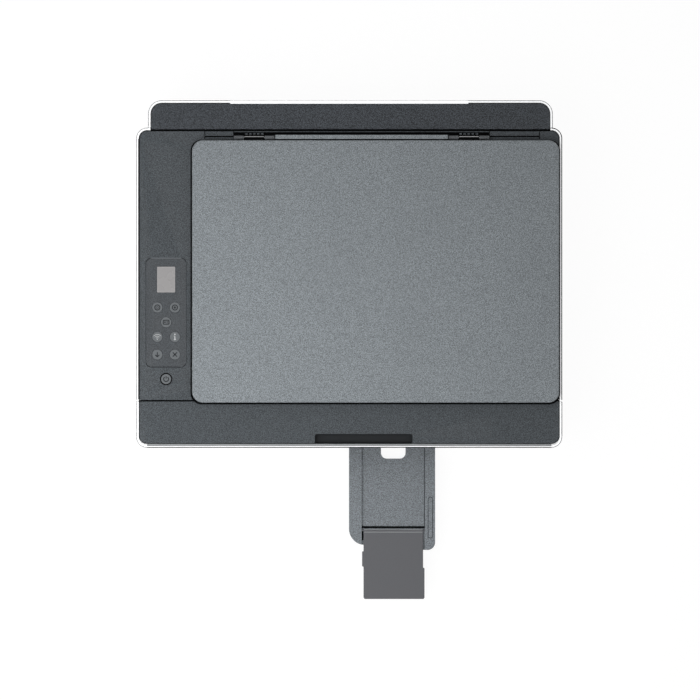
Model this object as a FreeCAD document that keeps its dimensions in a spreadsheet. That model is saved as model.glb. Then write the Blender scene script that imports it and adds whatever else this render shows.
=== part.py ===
import FreeCAD, Part
import math
import os
from types import SimpleNamespace

import Sketcher

# Driving dimensions in millimetres and degrees: name, number, meaning
SIZES = [
    ("casing_corner", 11, "corner radius of the casing seen from above"),
    ("casing_edge", 1.4, "rounding of the casing's upper edge"),
    ("pan_edge", 2, "rounding of the base pan's lower edge"),
    ("panel_edge", 0.6, "rounding of dark panels and tray pieces"),
    ("casing_wall", 2.5, "wall of the casing"),
    ("housing_depth", 28, "depth of the rear paper housing"),
    ("housing_inset_left", 12, "step from the casing to the rear housing on the left"),
    ("housing_inset_right", 9.5, "step from the casing to the rear housing on the right"),
    ("housing_corner", 14, "rear corner radius of the rear housing"),
    ("foot_height", 4, "height of the rubber feet"),
    ("foot_radius", 9, "radius of a rubber foot"),
    ("foot_inset", 40, "foot centre from the casing's sides"),
    ("pan_height", 22, "height of the base pan"),
    ("fascia_height", 52.4, "height of the lower casing above the base pan"),
    ("door_height", 64.5, "height of the front door"),
    ("door_depth", 47.1, "depth of the front door, front to rear edge"),
    ("door_seam", 1.6, "gap around the front door"),
    ("door_pivot_back", 14, "door pivot in front of the door's rear edge"),
    ("door_pivot_drop", 6.2, "door pivot under the door's top"),
    ("door_pin_radius", 1.5, "radius of the door's hinge stubs"),
    ("deck_thickness", 3, "thickness of the scanner deck and the door's top"),
    ("panel_gap", 0.25, "gap between fitted panels"),
    ("rim_gap", 1.2, "gap between the casing's rim and the panels on top"),
    ("slide_gap", 0.4, "gap between sliding pieces"),
    ("shaft_clearance", 0.05, "radial clearance of a shaft in its hole"),
    ("lid_gap", 0.5, "gap between deck and lid"),
    ("lid_height", 12, "thickness of the lid"),
    ("lid_width", 372.8, "width of the lid"),
    ("lid_depth", 266.5, "depth of the lid"),
    ("lid_corner", 11, "corner radius of the lid"),
    ("lid_edge", 1.6, "rounding of the lid's upper edge"),
    ("lid_wall", 3, "wall of the lid"),
    ("lid_hollow", 7.5, "depth of the lid's hollow"),
    ("lid_right_margin", 3.8, "lid edge inside the casing's right side"),
    ("lid_rear_margin", 13.45, "lid edge in front of the casing's rear edge"),
    ("lid_front_lap", 0.95, "lid's front edge over the front door"),
    ("rear_seam", 2.1, "gap between the deck and the paper support's cap"),
    ("rim_drop", 8, "rear wall's rim under the deck"),
    ("channel_gap", 0.5, "hinge channel behind the lid"),
    ("channel_ridge", 0.9, "ridge of the deck behind the hinge channel"),
    ("channel_depth", 1.6, "depth of the hinge channel"),
    ("hinge_left_offset", 123.5, "left lid hinge from the lid's centre"),
    ("hinge_right_offset", 95, "right lid hinge from the lid's centre"),
    ("hinge_back", 3, "lid hinge axis behind the lid"),
    ("hinge_rise", 4.6, "lid hinge axis above the deck"),
    ("hinge_knuckle_radius", 2.1, "radius of a hinge knuckle"),
    ("hinge_pin_radius", 1, "radius of a lid hinge pin"),
    ("hinge_clip_width", 20.5, "width of the lid's hinge arm"),
    ("hinge_knuckle_width", 10.4, "width of a deck knuckle"),
    ("glass_side_margin", 28, "scanner glass inside the lid's sides"),
    ("glass_end_margin", 19, "scanner glass inside the lid's front and rear"),
    ("glass_ledge", 4, "ledge that carries the glass"),
    ("scanner_height", 30, "height of the scanner base under the deck"),
    ("scanner_wall", 2.2, "wall of the scanner base"),
    ("scan_bar_width", 16, "width of the scanning bar"),
    ("scan_rod_radius", 3, "radius of the scanning bar's guide rod"),
    ("panel_left", 10, "control overlay from the casing's left side"),
    ("panel_width", 41, "width of the control overlay"),
    ("panel_right", 6.4, "gap between the control overlay and the lid"),
    ("panel_depth", 111, "depth of the control overlay"),
    ("panel_front", 82.2, "control overlay from the casing's front"),
    ("panel_corner", 5.5, "corner radius of the control overlay"),
    ("panel_thickness", 1, "thickness of the control overlay"),
    ("display_width", 18.3, "width of the display"),
    ("display_depth", 26.2, "depth of the display"),
    ("display_corner", 0.8, "corner radius of the display"),
    ("display_margin", 8.8, "display from the overlay's rear edge"),
    ("key_radius", 5.2, "radius of a key"),
    ("key_proud", 0.3, "height of a key above the overlay"),
    ("key_travel", 0.6, "travel of a key"),
    ("key_column_pitch", 17.9, "distance between the two key columns"),
    ("key_first_row", 50.3, "first key row from the overlay's rear edge"),
    ("key_row_pitch", 15, "distance between key rows"),
    ("key_last_row_pitch", 17.9, "distance from the third to the fourth key row"),
    ("power_key_radius", 5, "radius of the power key"),
    ("power_key_gap", 1.3, "ring gap around the power key"),
    ("power_key_front", 12.2, "power key in front of the overlay"),
    ("power_key_travel", 1.2, "travel of the power key"),
    ("cup_left", 35, "finger cup's left end from the casing's middle"),
    ("cup_width", 99.5, "width of the finger cup"),
    ("cup_depth", 9.5, "finger cup, front to rear"),
    ("cup_drop", 11, "depth of the finger cup"),
    ("cup_front", 4.6, "finger cup behind the door's front"),
    ("cup_wall", 1.6, "wall of the finger cup"),
    ("cup_corner", 2.5, "rear corner radius of the finger cup"),
    ("door_gap", 0.7, "gap between the door's rim and its top"),
    ("lip_depth", 1.4, "lip inside the door's front wall"),
    ("lip_drop", 1.2, "lip under the door's top"),
    ("door_ledge", 1.5, "width of the ledge that carries the door's top"),
    ("door_ledge_height", 2, "height of the ledge that carries the door's top"),
    ("door_ledge_end", 28, "rear end of the ledge in front of the door's rear edge"),
    ("window_width", 150, "width of the ink window"),
    ("window_height", 34, "height of the ink window"),
    ("window_left", 18, "ink window from the casing's left side"),
    ("window_rise", 8, "ink window above the door's lower edge"),
    ("paper_right", 174, "middle of the paper path from the casing's right side"),
    ("paper_width", 210, "width of the widest sheet"),
    ("path_margin", 13, "paper path beyond the widest sheet, each side"),
    ("slot_height", 39, "height of the output slot"),
    ("slot_rise", 9, "output slot above the base pan"),
    ("extender_width", 90.5, "width of the tray extender"),
    ("extender_offset", 2, "extender's middle from the paper's middle"),
    ("extender_thickness", 6.2, "thickness of the tray extender"),
    ("extender_reach", 110.5, "tray extender in front of the casing"),
    ("extender_inside", 56, "tray extender behind the casing's front"),
    ("extender_round_left", 17, "front left radius of the extender"),
    ("extender_round_right", 8, "front right radius of the extender"),
    ("wing_step", 5.2, "left front edge of the extender behind the right one"),
    ("finger_hole_width", 25.8, "width of the extender's finger hole"),
    ("finger_hole_depth", 21, "finger hole, front to rear"),
    ("finger_hole_front", 14.6, "finger hole's front edge in front of the casing"),
    ("flap_length", 72.3, "length of the end flap"),
    ("flap_offset", 1.3, "end flap's middle from the extender's middle"),
    ("flap_width", 62.6, "width of the end flap"),
    ("flap_gap", 1.9, "gap beside the end flap"),
    ("flap_ear", 1.5, "reach of the ears on the end flap's sides"),
    ("left_ear_front", 34, "left ear behind the end flap's front edge"),
    ("left_ear_length", 16, "length of the left ear"),
    ("right_ear_length", 32.7, "length of the right ear"),
    ("flap_thickness", 3, "thickness of the end flap"),
    ("flap_reach", 51.5, "end flap in front of the extender"),
    ("flap_pin_radius", 1, "radius of the flap's pins"),
    ("flap_ledge", 3, "ledge of the extender under the flap's sides"),
    ("groove_gap", 0.4, "hinge groove behind the flap's barrel"),
    ("groove_width", 2.6, "width of the hinge groove"),
    ("groove_depth", 1.6, "depth of the hinge groove"),
    ("chassis_sheet", 1.5, "thickness of the chassis sheet"),
    ("drive_bay", 27, "room for the drive beside the chassis on the right"),
    ("path_height", 43.5, "paper path above the pan's floor"),
    ("platen_thickness", 4, "thickness of the platen"),
    ("platen_depth", 70, "depth of the platen"),
    ("roller_radius", 6, "radius of the feed and discharge rollers"),
    ("shaft_radius", 3, "radius of the roller shafts"),
    ("roller_gap", 4, "gap between platen and rollers"),
    ("platen_setback", 112, "platen's front edge behind the casing's front"),
    ("pick_radius", 12, "radius of the pick roller's tyres"),
    ("pick_rise", 16, "pick roller's axis above the paper path"),
    ("pick_gap", 0.7, "gap between the pick roller and the chute"),
    ("pulley_radius", 6.5, "radius of the drive pulleys"),
    ("pulley_width", 6, "width of the drive pulleys"),
    ("belt_thickness", 1.2, "thickness of the belts"),
    ("motor_radius", 17, "radius of the motors"),
    ("motor_length", 34, "length of the motors"),
    ("feed_motor_rise", 40, "feed motor's axis above the paper path"),
    ("carriage_width", 95, "width of the print carriage"),
    ("carriage_depth", 58, "depth of the print carriage"),
    ("head_gap", 2, "gap between the print heads and the platen"),
    ("rail_thickness", 2, "thickness of the carriage rail"),
    ("tank_wall", 1.8, "wall of an ink tank"),
    ("tank_depth", 38, "depth of an ink tank"),
    ("tank_height", 31, "height of an ink tank"),
    ("tank_gap", 3, "gap between ink tanks"),
    ("black_tank_width", 48, "width of the black ink tank"),
    ("colour_tank_width", 36, "width of a colour ink tank"),
    ("nozzle_radius", 3.5, "radius of a tank's filler nozzle"),
    ("nozzle_height", 2.6, "height of a tank's filler nozzle"),
    ("nozzle_bore", 1.5, "bore of a tank's filler nozzle"),
    ("cap_length", 20, "length of a tank cap"),
    ("cap_thickness", 4, "thickness of a tank cap"),
    ("support_lean", 12, "lean of the paper support in degrees"),
    ("support_thickness", 3, "thickness of the paper support"),
    ("support_length", 108, "length of the paper support under its cap"),
    ("support_cap_height", 3, "height of the paper support's cap"),
    ("chute_thickness", 2.5, "thickness of the paper chute"),
    ("guide_height", 10, "height of a paper guide"),
    ("guide_length", 54, "length of a paper guide"),
    ("guide_thickness", 2.4, "thickness of a paper guide"),
    ("board_thickness", 1.6, "thickness of the circuit boards"),
    ("screw_radius", 2.6, "radius of a screw head"),
    ("small_corner", 2, "corner radius of small plates"),
    ("seam_corner", 1, "corner radius where two plates meet at a seam"),
    ("inner_gap", 3, "room between neighbouring inner pieces"),
    ("lap", 1, "how far the joined blocks of one piece reach into each other"),
    ("pulley_gap", 1, "gap between the chassis and the drive pulleys"),
    ("bar_back", 15, "chassis bar behind the feed roller's axis"),
    ("bar_height", 15.5, "height of the chassis bar"),
    ("plate_front", 18, "chassis plates in front of the discharge roller's axis"),
    ("plate_rear_gap", 2, "gap between the chassis plates and the casing's rear wall"),
    ("shaft_end", 0.8, "roller shafts beyond the left chassis plate"),
    ("spindle_radius", 2, "radius of the feed motor's spindle"),
    ("discharge_tyre_width", 14, "width of a discharge roller's tyre"),
    ("pick_tyre_width", 22, "width of a pick roller's tyre"),
    ("chute_drop", 2, "chute's foot under the paper path"),
    ("chute_top_gap", 5, "chute's upper end under the support's cap"),
    ("chute_leg_back", 30, "chute's legs in front of its foot"),
    ("sheet_play", 1, "play of the widest sheet between the guides"),
    ("guide_foot_width", 17, "width of a guide's foot under the sheet"),
    ("guide_foot_height", 1.4, "thickness of a guide's foot"),
    ("carriage_setback", 5, "print carriage behind the platen's front edge"),
    ("carriage_drop", 8, "print carriage's rim under the rail's top"),
    ("carriage_wall", 5, "wall of the print carriage"),
    ("carriage_floor", 8, "floor of the print carriage"),
    ("carriage_rib", 4, "rib between the print carriage's pockets"),
    ("head_height", 6, "print heads under the carriage's floor"),
    ("head_margin_x", 14, "print heads inside the carriage's sides"),
    ("head_margin_y", 10, "print heads inside the carriage's front and rear"),
    ("hook_thickness", 2.5, "thickness of the carriage's rail hook"),
    ("hook_drop", 6, "lip of the rail hook under the rail's top"),
    ("rail_headroom", 6, "carriage rail under the scanner base"),
    ("rail_rise", 16, "carriage rail above the paper path"),
    ("belt_back", 5, "carriage belt behind its rail"),
    ("belt_end_left", 14, "carriage belt's left axis from the rail's end"),
    ("belt_end_right", 24, "carriage belt's right axis from the rail's end"),
    ("motor_gap", 2, "gap between the carriage belt and its motor"),
    ("seat_gap", 0.1, "gap under the carriage motor"),
    ("platen_leg", 10, "width of the platen's left leg"),
    ("platen_right_gap", 8, "platen's right leg beyond the paper path"),
    ("rib_height", 2, "height of the platen's ribs"),
    ("rib_width", 2, "width of a platen rib"),
    ("rib_margin", 4, "platen's ribs inside its edges"),
    ("station_gap", 4, "gap between the service station and the platen"),
    ("station_side_gap", 2, "gap between the service station and the chassis"),
    ("station_drop", 5, "service station under the paper path"),
    ("pad_width", 20, "width of a capping pad"),
    ("pad_margin", 13, "capping pads inside the carriage's depth"),
    ("supply_back", 30, "power supply behind the feed roller's axis"),
    ("supply_rear_gap", 18.5, "gap between the power supply and the casing's rear wall"),
    ("supply_height", 46, "height of the power supply"),
    ("supply_gap", 22, "gap between the power supply and the paper path"),
    ("main_board_gap", 9, "main board inside the casing's right wall"),
    ("main_board_length", 176, "length of the main board"),
    ("main_board_drop", 12, "main board under the scanner base"),
    ("chip_size", 22, "side of a chip on the main board"),
    ("chip_height", 3, "height of a chip on the main board"),
    ("chip_first", 14, "first chip from the main board's front edge"),
    ("chip_pitch", 41, "distance between chips on the main board"),
    ("chip_rise", 40, "chips above the main board's lower edge"),
    ("port_rise", 14, "rear sockets above the rear housing's lower edge"),
    ("port_depth", 18, "rear sockets' inner end from the rear"),
    ("port_wall", 2, "wall of a rear socket"),
    ("inlet_left", 55, "power inlet's middle from the casing's left side"),
    ("inlet_width", 24, "width of the power inlet"),
    ("inlet_height", 17, "height of the power inlet"),
    ("inlet_mouth", 12, "depth of the power inlet's mouth"),
    ("socket_right", 45, "data socket's middle from the casing's right side"),
    ("socket_width", 13, "width of the data socket"),
    ("socket_height", 12, "height of the data socket"),
    ("socket_mouth", 9, "depth of the data socket's mouth"),
    ("housing_drop", 1, "rear housing's rim under the deck's top"),
    ("key_flange", 1.6, "height of a key's flange"),
    ("key_flange_margin", 0.6, "key flange beyond the power key's ring gap"),
    ("board_drop", 8, "control board under the deck"),
    ("board_margin", 4, "control board inside the overlay's rear edge"),
    ("board_front", 8, "control board in front of the power key"),
    ("post_inset", 5, "board posts inside the control board's edges"),
    ("post_radius", 3, "radius of a board post"),
    ("knuckle_setback", 2, "knuckle's foot in front of its rear"),
    ("scan_shoe_depth", 18, "depth of the scanning bar's shoe"),
    ("scan_gap", 1, "gap over and under the scanning bar"),
    ("hinge_side_gap", 1, "gap beside the lid's rear bar"),
    ("lid_bar_front", 1.4, "lid's rear bar behind the lid"),
    ("lid_bar_depth", 4.1, "depth of the lid's rear bar"),
    ("lid_bar_rise", 2, "lid's rear bar above the lid's lower edge"),
    ("lid_bar_drop", 3, "lid's rear bar under the lid's top"),
    ("lid_web", 3, "thickness of the web that carries the lid's rear bar"),
    ("lid_pad_margin", 2, "lid pad inside the glass"),
    ("relief_front", 2, "door's lower relief in front of its pivot"),
    ("holder_gap", 1.5, "gap between the tank holder and the casing"),
    ("holder_wall", 3, "wall of the tank holder"),
    ("holder_rear", 4, "tank holder behind the tanks"),
    ("holder_post_front", 6, "tank holder's post in front of the door's pivot"),
    ("tank_setback", 3, "tanks behind the door's front wall"),
    ("tank_left", 9, "first tank from the casing's left wall"),
    ("cap_setback", 2, "tank cap's front edge behind the tank's front"),
    ("cap_width", 18, "width of a tank cap"),
    ("nozzle_reach", 12, "filler nozzle in front of the cap's hinge"),
    ("cap_room", 1.5, "room around the filler nozzle in its cap"),
    ("lug_width", 3, "width of a tank's hinge lug"),
    ("tray_leg", 3, "width of the output tray's legs"),
    ("extender_rear_corner", 3, "rear corner radius of the tray extender"),
    ("recess_end", 4, "end of the flap's recess from the extender's rear edge"),
    ("finger_hole_corner", 6, "corner radius of the finger hole"),
    ("flap_pin_length", 4.4, "length of the flap's pins"),
    ("grip_rib_inset", 5, "extender's grip rib from its right side"),
    ("grip_rib_front", 12.8, "extender's grip rib from its front edge"),
    ("grip_rib_length", 42.6, "length of the extender's grip rib"),
    ("grip_rib_width", 4.2, "width of the extender's grip rib"),
    ("grip_rib_height", 0.4, "height of the extender's grip rib"),
    ("grip_groove", 0.5, "groove around the extender's grip rib"),
]

doc = FreeCAD.newDocument("Printer")
sheet = doc.addObject("Spreadsheet::Sheet", "Sizes")


class Dim:
    """A size with its number and the formula that ties it to the sheet."""

    def __init__(self, value, formula):
        self.value = value
        self.formula = formula

    def __add__(self, other):
        return joined(self, "+", other, self.value + dim(other).value)

    def __radd__(self, other):
        return dim(other) + self

    def __sub__(self, other):
        return joined(self, "-", other, self.value - dim(other).value)

    def __rsub__(self, other):
        return dim(other) - self

    def __mul__(self, other):
        return joined(self, "*", other, self.value * dim(other).value)

    def __rmul__(self, other):
        return dim(other) * self

    def __truediv__(self, other):
        return joined(self, "/", other, self.value / dim(other).value)

    def __neg__(self):
        return Dim(-self.value, f"(-{self.formula})")


def dim(number):
    """A plain number as a size that hangs on nothing in the sheet."""
    if isinstance(number, Dim):
        return number
    return Dim(float(number), f"({float(number)})")


def joined(first, sign, second, value):
    return Dim(value, f"({first.formula} {sign} {dim(second).formula})")


def sine(angle):
    return Dim(math.sin(math.radians(angle.value)), f"sin({angle.formula} * 1 deg)")


def cosine(angle):
    return Dim(math.cos(math.radians(angle.value)), f"cos({angle.formula} * 1 deg)")


def read_sizes():
    """Fill the sheet and give every driving dimension under its name."""
    sizes = {}
    for row, (name, number, meaning) in enumerate(SIZES, start=1):
        sheet.set(f"A{row}", meaning)
        sheet.set(f"B{row}", str(number))
        sheet.setAlias(f"B{row}", name)
        sizes[name] = Dim(float(number), f"Sizes.{name}")
    doc.recompute()
    return sizes


def bind(item, prop, size):
    item.setExpression(prop, dim(size).formula)


def place(item, x, y, z):
    for axis, size in (("x", x), ("y", y), ("z", z)):
        bind(item, f"Placement.Base.{axis}", size)


def box(name, x, y, z):
    """A block between the (low, high) limits along each axis."""
    block = doc.addObject("Part::Box", name)
    for prop, (low, high) in (("Length", x), ("Width", y), ("Height", z)):
        bind(block, prop, dim(high) - low)
    place(block, x[0], y[0], z[0])
    return block


TURNS = {
    "x": FreeCAD.Rotation(FreeCAD.Vector(0, 1, 0), 90),
    "y": FreeCAD.Rotation(FreeCAD.Vector(1, 0, 0), -90),
    "z": FreeCAD.Rotation(),
}


def rod(name, axis, span, centre, radius):
    """A cylinder along an axis over span; centre gives the other two coordinates in order."""
    cylinder = doc.addObject("Part::Cylinder", name)
    cylinder.Placement = FreeCAD.Placement(FreeCAD.Vector(), TURNS[axis])
    bind(cylinder, "Radius", radius)
    bind(cylinder, "Height", dim(span[1]) - span[0])
    first, second = centre
    corner = {
        "x": (span[0], first, second),
        "y": (first, span[0], second),
        "z": (first, second, span[0]),
    }
    place(cylinder, *corner[axis])
    return cylinder


def fuse(name, *shapes):
    union = doc.addObject("Part::MultiFuse", name)
    union.Shapes = list(shapes)
    return union


def cut(name, base, *tools):
    cutting = doc.addObject("Part::Cut", name)
    cutting.Base = base
    cutting.Tool = tools[0] if len(tools) == 1 else fuse(name + "_tools", *tools)
    return cutting


def common(name, first, second):
    shared = doc.addObject("Part::Common", name)
    shared.Base = first
    shared.Tool = second
    return shared


def group(name, *shapes):
    """Separate solids kept together in one node."""
    compound = doc.addObject("Part::Compound", name)
    compound.Links = list(shapes)
    return compound


def inset(limits, amount):
    return (dim(limits[0]) + amount, dim(limits[1]) - amount)


def about(middle, width):
    return (dim(middle) - width / 2, dim(middle) + width / 2)


def rounded_outline(body, name, x, y, radii):
    """A rectangle with four rounded corners, from the front left anticlockwise."""
    sketch = body.newObject("Sketcher::SketchObject", name)
    plane = next(item for item in body.Origin.OriginFeatures if item.Role == "XY_Plane")
    sketch.AttachmentSupport = [(plane, "")]
    sketch.MapMode = "FlatFace"
    left, right = dim(x[0]).value, dim(x[1]).value
    front, rear = dim(y[0]).value, dim(y[1]).value
    r1, r2, r3, r4 = (dim(radius).value for radius in radii)

    def point(px, py):
        return FreeCAD.Vector(px, py, 0)

    sides = [
        (point(left + r1, front), point(right - r2, front)),
        (point(right, front + r2), point(right, rear - r3)),
        (point(right - r3, rear), point(left + r4, rear)),
        (point(left, rear - r4), point(left, front + r1)),
    ]
    corners = [
        (point(right - r2, front + r2), r2, 3),
        (point(right - r3, rear - r3), r3, 0),
        (point(left + r4, rear - r4), r4, 1),
        (point(left + r1, front + r1), r1, 2),
    ]
    lines = [sketch.addGeometry(Part.LineSegment(start, end)) for start, end in sides]
    arcs = []
    for centre, radius, quarter in corners:
        circle = Part.Circle(centre, FreeCAD.Vector(0, 0, 1), radius)
        start = quarter * math.pi / 2
        arcs.append(sketch.addGeometry(Part.ArcOfCircle(circle, start, start + math.pi / 2)))
    for index, (line, arc) in enumerate(zip(lines, arcs)):
        sketch.addConstraint(Sketcher.Constraint("Tangent", line, 2, arc, 1))
        sketch.addConstraint(Sketcher.Constraint("Tangent", arc, 2, lines[(index + 1) % 4], 1))
        direction = "Horizontal" if index % 2 == 0 else "Vertical"
        sketch.addConstraint(Sketcher.Constraint(direction, line))
    limits = (("DistanceY", y[0]), ("DistanceX", x[1]), ("DistanceY", y[1]), ("DistanceX", x[0]))
    for line, (kind, limit) in zip(lines, limits):
        index = sketch.addConstraint(Sketcher.Constraint(kind, -1, 1, line, 1, dim(limit).value))
        bind(sketch, f"Constraints[{index}]", limit)
    for arc, radius in zip(arcs, (radii[1], radii[2], radii[3], radii[0])):
        index = sketch.addConstraint(Sketcher.Constraint("Radius", arc, dim(radius).value))
        bind(sketch, f"Constraints[{index}]", radius)
    return sketch


def slab(name, x, y, z, radii, top_round=None, bottom_round=None):
    """A flat piece with rounded corners seen from above, and softened top or bottom edges."""
    corners = radii if isinstance(radii, tuple) else (radii,) * 4
    body = doc.addObject("PartDesign::Body", name)
    sketch = rounded_outline(body, name + "_outline", x, y, corners)
    pad = body.newObject("PartDesign::Pad", name + "_pad")
    pad.Profile = sketch
    bind(pad, "Length", dim(z[1]) - z[0])
    height = (dim(z[1]) - z[0]).value
    for level, radius in ((height, top_round), (0.0, bottom_round)):
        if radius is not None:
            round_edges(body, level, radius)
    bind(body, "Placement.Base.z", z[0])
    return body


SAME = 1e-6  # two levels closer than this are one level


def round_edges(body, level, radius):
    """Soften the outline of a slab at one level of its own height."""
    doc.recompute()
    solid = body.Tip
    names = []
    for index, edge in enumerate(solid.Shape.Edges, start=1):
        limits = edge.BoundBox
        if abs(limits.ZMin - level) < SAME and abs(limits.ZMax - level) < SAME:
            names.append(f"Edge{index}")
    softened = body.newObject("PartDesign::Fillet", f"{body.Name}_round")
    softened.Base = (solid, names)
    bind(softened, "Radius", radius)


def belt(name, axis_points, radius, thickness, span):
    """A closed belt round equal pulleys at the given (y, z) axes, over the (low, high) span in x."""
    inner_radius = dim(radius).value
    corners = [FreeCAD.Vector(0, dim(py).value, dim(pz).value) for py, pz in axis_points]
    core = Part.Face(Part.makePolygon(corners + corners[:1]))
    outer = core.makeOffset2D(inner_radius + dim(thickness).value)
    inner = core.makeOffset2D(inner_radius)
    width = dim(span[1]).value - dim(span[0]).value
    loop = outer.cut(inner).Faces[0].extrude(FreeCAD.Vector(width, 0, 0))
    feature = doc.addObject("Part::Feature", name)
    feature.Shape = loop
    feature.Placement.Base.x = dim(span[0]).value
    return feature


nodes = {}


def node(label, item):
    """Name a finished sub-part."""
    item.Label = label
    nodes[label] = item
    return item


s = SimpleNamespace(**read_sizes())
OVER = 1.0  # how far a cutting block reaches past the piece that it cuts

# Plan of the casing: x to the right, y to the rear, origin under the middle of the whole printer
casing_width = s.panel_left + s.panel_width + s.panel_right + s.lid_width + s.lid_right_margin
side = casing_width / 2
casing_depth = s.door_depth - s.lid_front_lap + s.lid_depth + s.lid_rear_margin
reach = s.extender_reach + s.flap_reach
rear = (s.housing_depth + casing_depth + reach) / 2
casing_rear = rear - s.housing_depth
front = casing_rear - casing_depth
door_rear = front + s.door_depth
deck_front = door_rear + s.door_seam
casing_x = (-side, side)
casing_y = (front, casing_rear)
inner_x = inset(casing_x, s.casing_wall)
inner_y = inset(casing_y, s.casing_wall)
inner_corner = s.casing_corner - s.casing_wall
base_corner = inner_corner - s.panel_gap
deck_corner = inner_corner - s.rim_gap
wide_x = inset(casing_x, -OVER)

# Levels above the table
pan_bottom = s.foot_height
pan_floor = pan_bottom + s.casing_wall
pan_top = pan_bottom + s.pan_height
fascia_top = pan_top + s.fascia_height
door_bottom = fascia_top + s.door_seam
deck_top = door_bottom + s.door_height
deck_bottom = deck_top - s.deck_thickness
lid_bottom = deck_top + s.lid_gap
lid_top = lid_bottom + s.lid_height
scanner_bottom = deck_bottom - s.scanner_height
slot_bottom = pan_top + s.slot_rise
slot_top = slot_bottom + s.slot_height
path_top = pan_floor + s.path_height

# Plan of the main groups
paper_middle = side - s.paper_right
path_x = about(paper_middle, s.paper_width + 2 * s.path_margin)
chute_x = inset(path_x, -s.chute_thickness)
window_x = inset(chute_x, -s.casing_wall)
lid_x = (side - s.lid_right_margin - s.lid_width, side - s.lid_right_margin)
lid_y = (door_rear - s.lid_front_lap, casing_rear - s.lid_rear_margin)
lid_middle_x = lid_x[0] + s.lid_width / 2
lid_middle_y = lid_y[0] + s.lid_depth / 2
glass_x = inset(lid_x, s.glass_side_margin)
glass_y = inset(lid_y, s.glass_end_margin)
housing_x = (-side + s.housing_inset_left, side - s.housing_inset_right)
cap_bottom = deck_top - s.support_cap_height
cap_x = inset(housing_x, s.casing_wall + s.slide_gap)
cap_y = (inner_y[1] - s.rim_gap + s.rear_seam, rear - s.casing_wall - 2 * s.slide_gap)
panel_x = (-side + s.panel_left, -side + s.panel_left + s.panel_width)
panel_y = (front + s.panel_front, front + s.panel_front + s.panel_depth)
panel_middle = panel_x[0] + s.panel_width / 2

# Print mechanism
platen_y = (front + s.platen_setback, front + s.platen_setback + s.platen_depth)
roller_z = path_top - s.roller_radius
discharge_y = platen_y[0] - s.roller_gap - s.roller_radius
feed_y = platen_y[1] + s.roller_gap + s.roller_radius
left_plate_x = (inner_x[0] + inner_corner, inner_x[0] + inner_corner + s.chassis_sheet)
right_plate_x = (inner_x[1] - s.drive_bay - s.chassis_sheet, inner_x[1] - s.drive_bay)
bar_y = (feed_y + s.bar_back, feed_y + s.bar_back + s.chassis_sheet)
pulley_x = (right_plate_x[1] + s.pulley_gap, right_plate_x[1] + s.pulley_gap + s.pulley_width)

# Paper chute: its front face leans back from the foot
foot_y = inner_y[1]
foot_z = path_top - s.chute_drop
lean_sine = sine(s.support_lean)
lean_cosine = cosine(s.support_lean)


def slope_point(along, out):
    """Where a point lies that is so far up the chute and so far in front of its face."""
    y = foot_y + along * lean_sine - out * lean_cosine
    z = foot_z + along * lean_cosine + out * lean_sine
    return y, z


def slope_block(name, x, along, out):
    """A block that leans with the chute."""
    block = doc.addObject("Part::Box", name)
    turn = FreeCAD.Rotation(FreeCAD.Vector(-1, 0, 0), s.support_lean.value)
    block.Placement = FreeCAD.Placement(FreeCAD.Vector(), turn)
    bind(block, "Placement.Rotation.Angle", s.support_lean)
    for prop, (low, high) in (("Length", x), ("Width", out), ("Height", along)):
        bind(block, prop, dim(high) - low)
    place(block, x[0], *slope_point(dim(along[0]), dim(out[1])))
    return block


pick_z = path_top + s.pick_rise
pick_along = (pick_z - foot_z) / lean_cosine
pick_face_y = foot_y + pick_along * lean_sine
pick_y = pick_face_y - (s.pick_radius + s.pick_gap) / lean_cosine
motor_y = (feed_y + pick_y) / 2
motor_z = path_top + s.feed_motor_rise
shafts = [(discharge_y, roller_z), (feed_y, roller_z), (pick_y, pick_z)]

# Print carriage and its rail
carriage_left = left_plate_x[1] + s.inner_gap
carriage_x = (carriage_left, carriage_left + s.carriage_width)
carriage_front = platen_y[0] + s.carriage_setback
carriage_y = (carriage_front, carriage_front + s.carriage_depth)
rail_y = (carriage_y[1] + s.slide_gap, carriage_y[1] + s.slide_gap + s.rail_thickness)
rail_x = (left_plate_x[1], right_plate_x[0])
rail_top = scanner_bottom - s.rail_headroom
rail_bottom = path_top + s.rail_rise
belt_radius = s.pulley_radius / 2
belt_y = (rail_y[1] + s.belt_back, rail_y[1] + s.belt_back + s.pulley_width)
belt_z = (rail_top + rail_bottom) / 2
belt_ends = (rail_x[0] + s.belt_end_left, rail_x[1] - s.belt_end_right)

# Lid hinges
hinge_y = lid_y[1] + s.hinge_back
hinge_z = deck_top + s.hinge_rise
hinge_xs = (lid_middle_x - s.hinge_left_offset, lid_middle_x + s.hinge_right_offset)
hinge_half = s.hinge_clip_width / 2

# Front door and ink tanks
pivot_y = door_rear - s.door_pivot_back
pivot_z = deck_top - s.door_pivot_drop
tank_front = inner_y[0] + s.tank_setback
tank_y = (tank_front, tank_front + s.tank_depth)
tank_top = fascia_top + s.tank_height
tank_names = ("black", "cyan", "magenta", "yellow")
cap_hinge_y = tank_front + s.cap_length + s.cap_setback
cap_hinge_z = tank_top + s.slide_gap + s.cap_thickness / 2
nozzle_y = cap_hinge_y - s.nozzle_reach
barrel_half = s.cap_width / 2 - s.cap_setback

# Output tray
extender_middle = paper_middle + s.extender_offset
extender_x = about(extender_middle, s.extender_width)
extender_y = (front - s.extender_reach, front + s.extender_inside)
extender_bottom = slot_bottom - s.extender_thickness
channel_bottom = extender_bottom - s.slide_gap
channel_x = inset(extender_x, -s.slide_gap)
flap_middle = extender_middle + s.flap_offset
flap_x = about(flap_middle, s.flap_width)
flap_tip = front - reach
flap_axis_y = flap_tip + s.flap_length
flap_z = slot_bottom - s.flap_thickness / 2
recess_x = inset(flap_x, -s.flap_gap)
recess_bottom = slot_bottom - s.flap_thickness - s.slide_gap

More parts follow.
